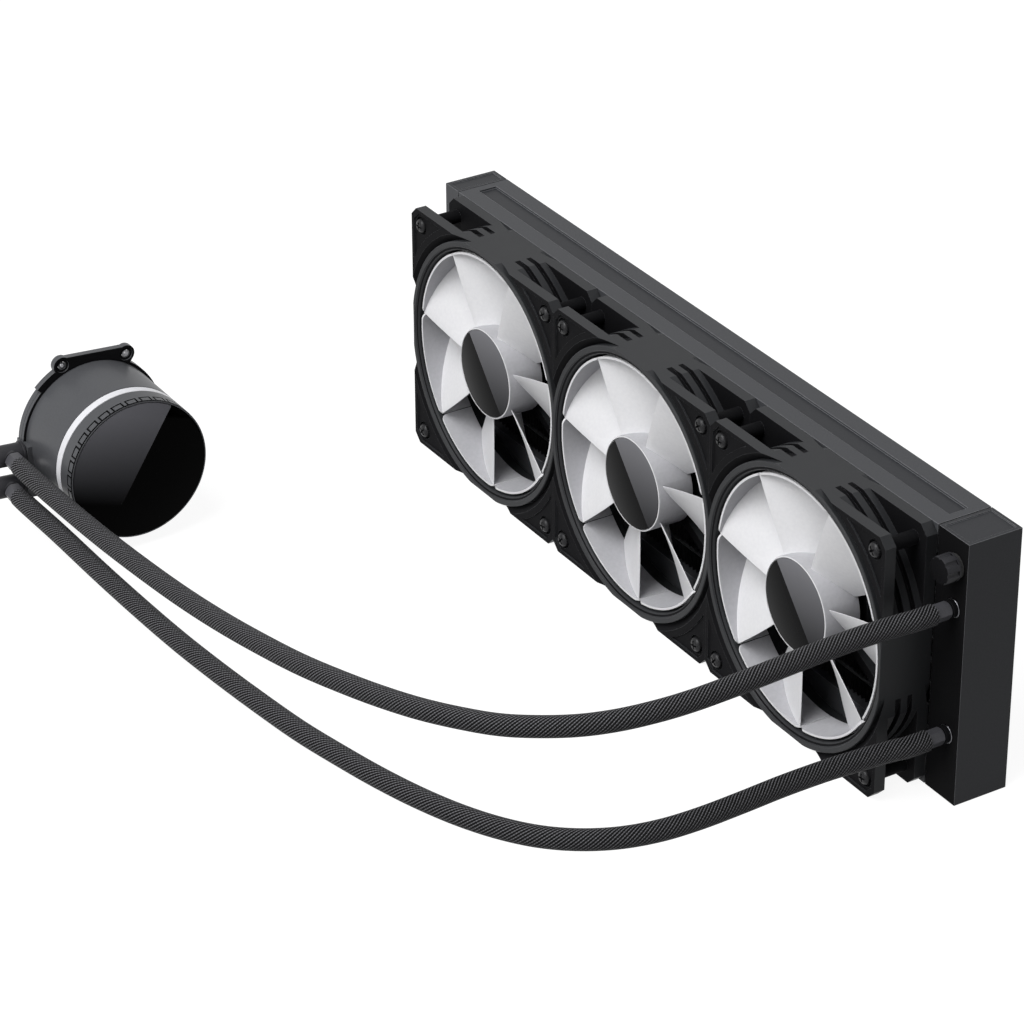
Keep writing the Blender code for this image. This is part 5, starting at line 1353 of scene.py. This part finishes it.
@dataclass
class Pump:
    """The pump head: housing, light ring, slotted collar, gloss face, bracket and elbows."""

    x: float = -208.2
    y: float = -178.6
    z: float = 39.0279
    roll: float = -4.5
    radius: float = 33.0
    housing_height: float = 35.0
    housing_wall: float = 2.2
    foot: tuple[float, float] = (31.9, 2.2)     # radius and depth of the hollow under the foot
    ledge: tuple[float, float] = (26.6, 3.0)    # the same of the cold plate's seat
    chamber: tuple[float, float] = (24.6, 14.0)     # of the water chamber
    can: tuple[float, float] = (8.8, 27.0)      # of the can that holds the impeller's magnet
    deck: float = 15.6          # upper side of the chamber's roof
    can_wall: float = 1.2
    bore_end: float = 12.0      # where the elbows' holes end, inside the chamber
    ring_height: float = 4.0
    ring_wall: float = 3.4
    collar_height: float = 11.0
    collar_recess: float = 2.2
    collar_rim: float = 0.7
    slots: int = 30
    slot_share: float = 0.8
    slot_line: float = 0.8
    slot_depth: float = 0.6
    slot_height: float = 3.6
    slot_inset: float = 0.9
    face_thickness: float = 1.9
    block_reach: float = 35.0
    block_inner: float = 18.6   # the port block's end inside the housing
    block_top: float = 0.2
    block_width: float = 25.0
    block_bottom: float = 0.013
    block_height: float = 11.3
    base_radius: float = 34.4
    base_height: float = 3.2
    bracket_thickness: float = 1.7
    bracket_skirt: float = 1.5
    arc_radius: float = 36.8
    arc_angle: float = 49.0
    ear_x: float = 15.7
    ear_y: float = 33.7
    ear_radius: float = 4.2
    ear_hole: float = 1.9
    ear_dish: tuple[float, float] = (3.1, 0.5)      # radius and depth
    bushing: tuple[float, float] = (0.9, 1.5)       # radii
    bar_top: float = 37.4
    elbow_upper: float = -4.6
    elbow_spacing: float = 15.4
    elbow_height: float = 5.7
    elbow_radius: float = 5.0
    elbow_reach: float = 42.1
    elbow_tip: float = 6.5
    elbow_stem: tuple[float, float] = (2.3, 4.0)    # radius and length in the port block
    elbow_flange: tuple[float, float] = (5.6, 1.5)  # radius and thickness
    elbow_collar: float = 3.9
    stub_radius: float = 2.4
    stub_bore: float = 1.6
    inlet: float = 1.5
    sleeve_length: float = 6.6
    sleeve_flats: float = 7.4

    @property
    def station(self) -> Matrix:
        """Return the pump's place: local Z runs out of its face, local X to the fans."""
        roll = Matrix.Rotation(math.radians(self.roll), 4, "X")
        return at(self.x, self.y, self.z, roll @ AXES_ON)

    @property
    def elbow_heights(self) -> tuple[tuple[str, float], ...]:
        """Return each elbow's place along the housing's side."""
        return (("upper", self.elbow_upper), ("lower", self.elbow_upper - self.elbow_spacing))

    @property
    def ears(self) -> Outline:
        """Return the four ears' places."""
        return [(x, y) for x in (-self.ear_x, self.ear_x) for y in (-self.ear_y, self.ear_y)]

    def housing_mesh(self) -> Mesh:
        """Make the housing with its port block."""
        r, top, base, rise = self.radius, self.housing_height, self.base_radius, self.base_height
        can, can_top = self.can[0] + self.can_wall, self.can[1] + self.can_wall
        body = turned([
            (0, 0), (base - 0.3, 0), (base, 0.3), (base, rise - 0.2), (base - 0.2, rise),
            (r, rise), (r, top - 0.3), (r - 0.3, top), (r - self.housing_wall, top),
            (r - self.housing_wall, self.deck), (can, self.deck), (can, can_top), (0, can_top),
        ], Sides.PUMP)
        hollows = (self.foot, self.ledge, self.chamber, self.can)
        low = (-PAST, *(height for _, height in hollows))
        inside = turned([(0, low[0]), *(
            point for (radius, height), start in zip(hollows, low)
            for point in ((radius, start), (radius, height))
        ), (0, low[-1])], Sides.PUMP)
        block = box((-self.block_reach, -self.block_inner),
                    (self.block_top - self.block_width, self.block_top),
                    (self.block_bottom, self.block_height))
        bores = together(*(
            moved(rod(self.elbow_stem[0] + SEAT, -self.block_reach - PAST, self.bore_end, Sides.BORE),
                  Matrix.Translation((0, y, self.elbow_height)) @ TO_X)
            for _, y in self.elbow_heights
        ))
        return cut(body, (Cut.JOIN, block), (Cut.REMOVE, inside), (Cut.REMOVE, bores))

    def collar_mesh(self) -> Mesh:
        """Make the collar with its ring of shallow slots, open towards the face."""
        r, inner, rim = self.radius, self.radius - self.ring_wall, self.radius - self.collar_rim
        height, deep = self.collar_height, self.collar_height - self.collar_recess
        body = turned([
            (inner, 0), (r - 0.25, 0), (r, 0.25), (r, height - 0.2), (r - 0.2, height),
            (rim, height), (rim, deep), (inner, deep),
        ], Sides.PUMP)
        half, band = math.pi / self.slots * self.slot_share, self.slot_line
        inside, outside = r - self.slot_depth, r + 3 * PAST
        top, line = height - self.slot_inset, band / r

        def wedge(first: float, last: float, low: float, high: float) -> Builder:
            """Return a short curved cutter between two angles and two heights."""
            return prism(arc(inside, first, last, 6) + arc(outside, last, first, 2), low, high)

        shape = carve(
            wedge(-half, half, top - self.slot_height, top),
            wedge(-half + line, half - line, top - self.slot_height + band, top + PAST),
        )
        return carve(body, round_z(stamped(shape), self.slots),
                     tube(inside, outside, top - 0.02, top + band, Sides.PUMP))

    def in_slot(self, polygon: MeshPolygon) -> bool:
        """Tell whether a face lies in one of the collar's slots, which are painted near black as
        painted shade.
        """
        radius = polygon.center.xy.length / MM
        low = self.collar_height - self.slot_inset - self.slot_height
        return (self.radius - self.collar_rim < radius + 0.05 < self.radius - 0.1
                and low - 0.1 < polygon.center.z / MM < self.collar_height - 0.1)

    def bracket_outline(self) -> Outline:
        """Return the bracket's outline: a ring with wider arcs that carry two ears each."""
        distance = math.hypot(self.ear_x, self.ear_y)
        reach = distance ** 2 + self.arc_radius ** 2 - self.ear_radius ** 2
        half_ear = math.acos(reach / (2 * distance * self.arc_radius))
        meet = math.atan2(self.ear_y, self.ear_x) - half_ear
        step = math.radians(90 - self.arc_angle)
        first = math.atan2(self.arc_radius * math.sin(meet) - self.ear_y,
                           self.arc_radius * math.cos(meet) - self.ear_x)
        last = math.pi - math.asin((self.bar_top - self.ear_y) / self.ear_radius)
        ear = arc(self.ear_radius, first, last, 28, (self.ear_x, self.ear_y))[1:]
        ring = arc(self.base_radius, 0, step, 20)
        winged = ring + arc(self.arc_radius, step, meet, 8) + ear
        plain = arc(self.base_radius, 0, meet, 28) + ear
        above = plain + [(-x, y) for x, y in winged[:0:-1]]
        below = [(-x, -y) for x, y in winged] + [(x, -y) for x, y in plain[:0:-1]]
        return above + below

    def bracket_mesh(self) -> Mesh:
        """Make the mounting bracket with its four ears."""
        seat = self.base_height + SEAT
        bottom, top = seat - self.bracket_skirt, seat + self.bracket_thickness
        low, high = bottom - PAST, top + PAST
        dish, dish_depth = self.ear_dish
        return carve(
            prism(self.bracket_outline(), bottom, top),
            rod(self.radius + SEAT, low, high, Sides.PUMP),
            rod(self.base_radius + SEAT, low, seat, Sides.PUMP),
            box((-self.block_reach - WELL_PAST, -self.block_inner),
                (self.block_top - self.block_width - SEAT, self.block_top + SEAT), (low, high)),
            spread(rod(dish, top - dish_depth, high, Sides.ROUND), self.ears),
            spread(rod(self.ear_hole, low, high, Sides.ROUND), self.ears),
        )

    def bushings(self) -> Builder:
        """Make the bright bushings pressed into the ears."""
        seat = self.base_height + SEAT
        top = seat + self.bracket_thickness - 0.7
        return spread(tube(*self.bushing, seat - 1.2, top, Sides.BORE), self.ears)

    def elbow_mesh(self) -> Mesh:
        """Make one elbow: Z runs out of the port block, its hose stub to +X."""
        reach, r = self.elbow_reach - self.block_reach, self.elbow_radius
        tip = reach + self.elbow_tip
        (stem, depth), (flange, thick) = self.elbow_stem, self.elbow_flange
        body = turned([
            (0, -depth), (stem, -depth), (stem, SEAT), (flange - 0.25, SEAT),
            (flange, SEAT + 0.25), (flange, thick - 0.25), (flange - 0.25, thick), (r, thick),
            (r, tip - 0.7), (r - 0.2, tip - 0.2), (r - 0.7, tip), (0, tip),
        ], Sides.TURNED)
        end = r + SEAT + self.sleeve_length
        to_hose = Matrix.Translation((0, 0, reach)) @ TO_X
        return cut(body, (Cut.JOIN, moved(rod(self.elbow_collar, 0, r, Sides.SLEEVE), to_hose)),
                   (Cut.JOIN, moved(rod(self.stub_radius, 0, end, Sides.SLEEVE), to_hose)),
                   (Cut.REMOVE, moved(rod(self.stub_bore, 0, end + PAST, Sides.BORE), to_hose)),
                   (Cut.REMOVE, rod(self.inlet, -depth - PAST, reach, Sides.INLET)))

    def build(self) -> None:
        """Build and dress the pump head."""
        station = self.station
        light = self.housing_height + SEAT
        collar = light + self.ring_height + SEAT
        face = collar + self.collar_height - self.collar_recess + SEAT
        place("pump_shell", self.housing_mesh(), Looks.PUMP_SHELL, station,
              nodes=("pump_housing",), edge=0.25)
        guide = tube(self.radius - self.ring_wall, self.radius, light, light + self.ring_height,
                     Sides.PUMP)
        place("pump_light_guide", guide, Looks.LIGHT_GUIDE, station,
              nodes=("pump_light_ring",), edge=0.2)
        # The collar's slots are painted near black as painted shade.
        place("pump_slotted_collar", self.collar_mesh(), Looks.PUMP_SHELL,
              station @ Matrix.Translation((0, 0, collar)), nodes=("pump_collar",), edge=0.1,
              accent=(Looks.FRAME_PAINTED_SHADE, self.in_slot))
        disc = soft_disc(self.radius - self.collar_rim - SEAT, face, face + self.face_thickness,
                         (0.5, 0.15), Sides.PUMP)
        # The face disc's two halves are a painted reflection.
        place("pump_face_disc", disc, Looks.FACE_PAINTED_REFLECTION, station, nodes=("pump_face",))
        # The bracket's faces towards the fans are painted near black as painted shade.
        place("pump_bracket_moulded", self.bracket_mesh(), Looks.PUMP_SHELL, station,
              nodes=("pump_bracket",), edge=0.3, square=True,
              accent=(Looks.FRAME_PAINTED_SHADE, looking(station, (1.0, 0.0, 0.0))))
        place("pump_bracket_bushings", self.bushings(), Looks.PLATED_BRASS, station,
              nodes=("pump_bracket",))
        for name, y in self.elbow_heights:
            arm = station @ Matrix.Translation((-self.block_reach, y, self.elbow_height))
            place(f"elbow_{name}_moulded", self.elbow_mesh(), Looks.GREY_NYLON,
                  arm @ TO_LEFT, nodes=(f"elbow_{name}",), edge=0.15, square=True)
            out = Matrix.Translation((-self.elbow_reach, y,
                                      self.elbow_height + self.elbow_radius + SEAT))
            place(f"pump_sleeve_{name}_hex",
                  hex_sleeve(self.sleeve_flats, self.sleeve_length, self.stub_radius + SEAT),
                  Looks.SLEEVE_NYLON, station @ out, nodes=(f"pump_sleeve_{name}",), edge=0.3)


@dataclass
class Hose:
    """A sleeved hose between a radiator port and a pump elbow."""

    name: str
    start: tuple[float, float, float]
    end: tuple[float, float, float]
    route: tuple[tuple[float, float, float], ...]
    diameter: float = 8.8
    lead: float = 9.0           # straight stretch out of each sleeve
    spacing: float = 2.2        # between two rings of the tube
    fine: int = 16              # steps from one route point to the next

    def dense_route(self) -> list[Vector]:
        """Return evenly spaced points on a smooth curve through the route."""
        start, end = Vector(self.start), Vector(self.end)
        guide = [start, start + Vector((0, -self.lead, 0)), *(Vector(p) for p in self.route),
                 end + Vector((self.lead, 0, 0)), end]
        padded = [2 * guide[0] - guide[1], *guide, 2 * guide[-1] - guide[-2]]
        dense = []
        for p0, p1, p2, p3 in zip(padded, padded[1:], padded[2:], padded[3:]):
            for t in (k / self.fine for k in range(self.fine)):
                dense.append(0.5 * (
                    2 * p1 + (p2 - p0) * t + (2 * p0 - 5 * p1 + 4 * p2 - p3) * t ** 2
                    + (3 * p1 - p0 - 3 * p2 + p3) * t ** 3
                ))
        dense.append(end)
        lengths = [0.0]
        for a, b in zip(dense, dense[1:]):
            lengths.append(lengths[-1] + (b - a).length)
        count = round(lengths[-1] / self.spacing)
        even, index = [], 0
        for k in range(count + 1):
            target = lengths[-1] * k / count
            while index < len(lengths) - 2 and lengths[index + 1] < target:
                index += 1
            share = (target - lengths[index]) / (lengths[index + 1] - lengths[index])
            even.append(dense[index].lerp(dense[index + 1], share))
        return even

    def build(self) -> None:
        points = self.dense_route()
        radius = self.diameter / 2
        work = bmesh.new()
        uv_layer = work.loops.layers.uv.new("UVMap")
        rings, travel = [], []
        direction = (points[1] - points[0]).normalized()
        side = direction.orthogonal().normalized()
        total = 0.0
        for i, point in enumerate(points):
            after = points[min(i + 1, len(points) - 1)]
            before = points[max(i - 1, 0)]
            heading = (after - before).normalized()
            side = (side - heading * side.dot(heading)).normalized()
            other = heading.cross(side)
            total += (point - points[max(i - 1, 0)]).length
            travel.append(total * MM)
            rings.append([
                work.verts.new((point + (side * math.cos(a) + other * math.sin(a)) * radius) * MM)
                for a in (math.tau * k / Sides.ROUND for k in range(Sides.ROUND))
            ])
        for i, (a, b) in enumerate(zip(rings, rings[1:])):
            for k in range(Sides.ROUND):
                m = (k + 1) % Sides.ROUND
                face = work.faces.new((a[k], a[m], b[m], b[k]))
                for loop, u, v in zip(face.loops, (k, k + 1, k + 1, k), (i, i, i + 1, i + 1)):
                    loop[uv_layer].uv = (u / Sides.ROUND, travel[v])
        work.faces.new(rings[0])
        work.faces.new(rings[-1][::-1])
        bmesh.ops.recalc_face_normals(work, faces=work.faces)
        mesh = bpy.data.meshes.new(self.name)
        work.to_mesh(mesh)
        work.free()
        piece = place(f"{self.name}_braided", mesh, Looks.SLEEVING, Matrix.Identity(4),
                      nodes=(self.name,))
        LOG.info("%s: %.0f mm long", self.name, total)


HOSES = (
    Hose("hose_upper", (197.9, 91.178, 88.6), (-184.7, -119.453, 37.745), (
        (196.8, 74.6, 88.3), (195.5, 58.6, 87.8), (194.9, 42.6, 87.1), (194.8, 26.6, 86.3),
        (194.6, 10.6, 85.3), (193.8, -4.4, 84.1), (192.2, -18.4, 82.7), (189.6, -31.4, 81.4),
        (185.0, -45.4, 79.8), (178.1, -58.4, 78.1), (168.5, -70.1, 76.3), (156.4, -80.4, 74.1),
        (141.4, -88.8, 71.8), (124.0, -96.3, 69.2), (103.9, -102.4, 66.2), (81.5, -107.5, 62.9),
        (57.0, -111.8, 59.3), (29.1, -114.7, 55.3), (-1.3, -116.8, 51.1), (-34.2, -118.0, 47.0),
        (-72.1, -118.5, 43.0), (-110.2, -118.8, 39.9), (-150.7, -119.0, 37.9),
    )),
    Hose("hose_lower", (197.9, 91.178, 30.6), (-184.7, -120.661, 22.392), (
        (196.6, 74.6, 30.6), (195.0, 58.6, 30.5), (194.0, 43.6, 30.4), (193.8, 24.6, 30.2),
        (194.4, 4.6, 29.9), (194.6, -14.4, 29.7), (193.0, -31.4, 29.4), (188.6, -46.8, 29.1),
        (181.2, -60.2, 28.8), (171.0, -71.7, 28.5), (157.5, -81.3, 28.1), (141.2, -89.4, 27.7),
        (122.3, -96.1, 27.2), (101.1, -101.8, 26.7), (78.0, -106.6, 26.2), (53.1, -110.8, 25.5),
        (25.3, -113.9, 24.9), (-4.2, -116.4, 24.2), (-35.9, -118.4, 23.6), (-70.2, -119.4, 23.0),
        (-106.9, -119.9, 22.6), (-146.2, -120.0, 22.4),
    )),
)


@dataclass
class Studio:
    """Plain studio: a white floor, a soft sky and two large lamps, and the camera."""

    camera_place: tuple[float, float, float] = (1232.83, -736.02, 879.89)
    azimuth: float = 57.8
    elevation: float = 29.16
    focal_px: float = 3957.8
    centre_px: tuple[float, float] = (549.92, 487.21)
    image_px: float = 1024.0
    sensor: float = 36.0
    sky_level: float = 0.22
    floor_reach: float = 6000.0
    floor_colour: str = "#727272"
    floor_glow: float = 0.91    # what lifts the floor to white for the camera
    aim: tuple[float, float, float] = (0.0, 0.0, 0.06)      # metres
    lamps: tuple[tuple[str, tuple[float, float, float], float, float], ...] = (
        ("key_above", (0.2, -1.1, 1.9), 1.4, 44.0),
        ("front", (0.5, -2.1, 0.9), 1.2, 13.0),
    )

    @staticmethod
    def stand(item: Object, where: Vector, way: Vector) -> None:
        """Put the camera or a lamp at a place and turn it to look one way."""
        item.location = where
        item.rotation_mode = "QUATERNION"
        item.rotation_quaternion = way.to_track_quat("-Z", "Y")

    def camera(self) -> None:
        """Set the camera where the photograph was taken from."""
        data = bpy.data.cameras.new("camera")
        data.sensor_width = self.sensor
        data.lens = self.focal_px / self.image_px * self.sensor
        data.shift_x = (self.image_px / 2 - self.centre_px[0]) / self.image_px
        data.shift_y = (self.centre_px[1] - self.image_px / 2) / self.image_px
        data.clip_start, data.clip_end = 0.05, 50.0
        camera = add_object("camera", data)
        a, e = math.radians(self.azimuth), math.radians(self.elevation)
        back = Vector((math.sin(a) * math.cos(e), -math.cos(a) * math.cos(e), math.sin(e)))
        self.stand(camera, Vector(self.camera_place) * MM, -back)
        bpy.context.scene.camera = camera

    def seen(self, tree: NodeTree) -> NodeSocket:
        """Return 1 for rays that show the background, straight or in gloss and glass."""
        path = add_node(tree, "ShaderNodeLightPath")
        first = add_node(tree, "ShaderNodeMath", {
            0: path.outputs["Is Camera Ray"], 1: path.outputs["Is Glossy Ray"],
        }, operation="MAXIMUM")
        both = add_node(tree, "ShaderNodeMath", {
            0: first.outputs[0], 1: path.outputs["Is Transmission Ray"],
        }, operation="MAXIMUM")
        return both.outputs[0]

    def sky(self) -> None:
        """Light the scene from all round, with white behind the object."""
        world = bpy.data.worlds.new("studio")
        world.use_nodes = True
        tree = world.node_tree
        tree.nodes.clear()
        level = add_node(tree, "ShaderNodeMapRange", {
            "Value": self.seen(tree), "To Min": self.sky_level, "To Max": 1.0,
        })
        back = add_node(tree, "ShaderNodeBackground", {
            "Color": (1, 1, 1, 1), "Strength": level.outputs["Result"],
        })
        add_node(tree, "ShaderNodeOutputWorld", {"Surface": back.outputs[0]})
        bpy.context.scene.world = world

    def floor(self) -> None:
        """Lay the pale floor, which keeps the object's shadow."""
        side = (-self.floor_reach, self.floor_reach)
        mesh = mesh_of(box(side, side, (-20, -0.05)), "floor")
        made = bpy.data.materials.new("white_paper")
        made.use_nodes = True
        tree = made.node_tree
        shader = tree.nodes["Principled BSDF"]
        shader.inputs["Base Color"].default_value = linear(self.floor_colour)
        shader.inputs["Roughness"].default_value = 0.9
        glow = add_node(tree, "ShaderNodeMapRange", {
            "Value": self.seen(tree), "To Min": 0.0, "To Max": self.floor_glow,
        })
        shader.inputs["Emission Color"].default_value = (1, 1, 1, 1)
        tree.links.new(glow.outputs["Result"], shader.inputs["Emission Strength"])
        mesh.materials.append(made)
        floor = add_object("floor", mesh)

    def lamp(self, name: str, where: tuple[float, float, float], size: float,
             power: float) -> None:
        """Hang a square lamp that faces the object.

        Args:
            name: the lamp's name.
            where: where it hangs, in metres.
            size: length of its side in metres.
            power: watts.
        """
        data = bpy.data.lights.new(name, "AREA")
        data.size = size
        data.energy = power
        self.stand(add_object(name, data), Vector(where), Vector(self.aim) - Vector(where))

    def build(self) -> None:
        """Set up the studio."""
        bpy.context.scene.view_settings.view_transform = "Standard"
        self.camera()
        self.sky()
        self.floor()
        for lamp in self.lamps:
            self.lamp(*lamp)


INNER_FINISHES = {
    "header_left": Looks.CORE_COAT,
    "header_right": Looks.CORE_COAT,
    "filler_seal": Looks.RUBBER,
    "pump_cold_plate": Looks.COPPER,
    "pump_seal": Looks.RUBBER,
    "pump_jet_plate": Looks.FRAME_PBT,
    "pump_impeller": Looks.FERRITE,
    "pump_impeller_pin": Looks.PLATED_BRASS,
    "pump_stator": Looks.WINDING,
    "pump_board": Looks.SOLDER_MASK,
    **{
        f"fan{number}_{piece}": look
        for number in (1, 2, 3)
        for piece, look in (
            ("magnet", Looks.FERRITE), ("shaft", Looks.PLATED_BRASS),
            ("bearing", Looks.BRONZE), ("stator", Looks.WINDING), ("board", Looks.SOLDER_MASK),
        )
    },
}


def dress_inner_nodes() -> None:
    """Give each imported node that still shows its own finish."""
    for name, look in INNER_FINISHES.items():
        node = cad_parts[name]
        node.data.materials.clear()
        node.data.materials.append(look.material())
        LOG.info("%s: %s", name, look.name)


def main() -> None:
    """Build the studio, the hoses and every sub-assembly in order."""
    logging.basicConfig(level=logging.INFO, format="%(name)s %(message)s")
    Studio().build()
    for hose in HOSES:
        hose.build()
    Radiator().build()
    Ports().build()
    for number, body in enumerate((Body.FAN_1, Body.FAN_2, Body.FAN_3), start=1):
        Fan(number, (number - 2) * FAN_PITCH, body).build()
    Pump().build()
    dress_inner_nodes()


if __name__ == "__main__":
    main()
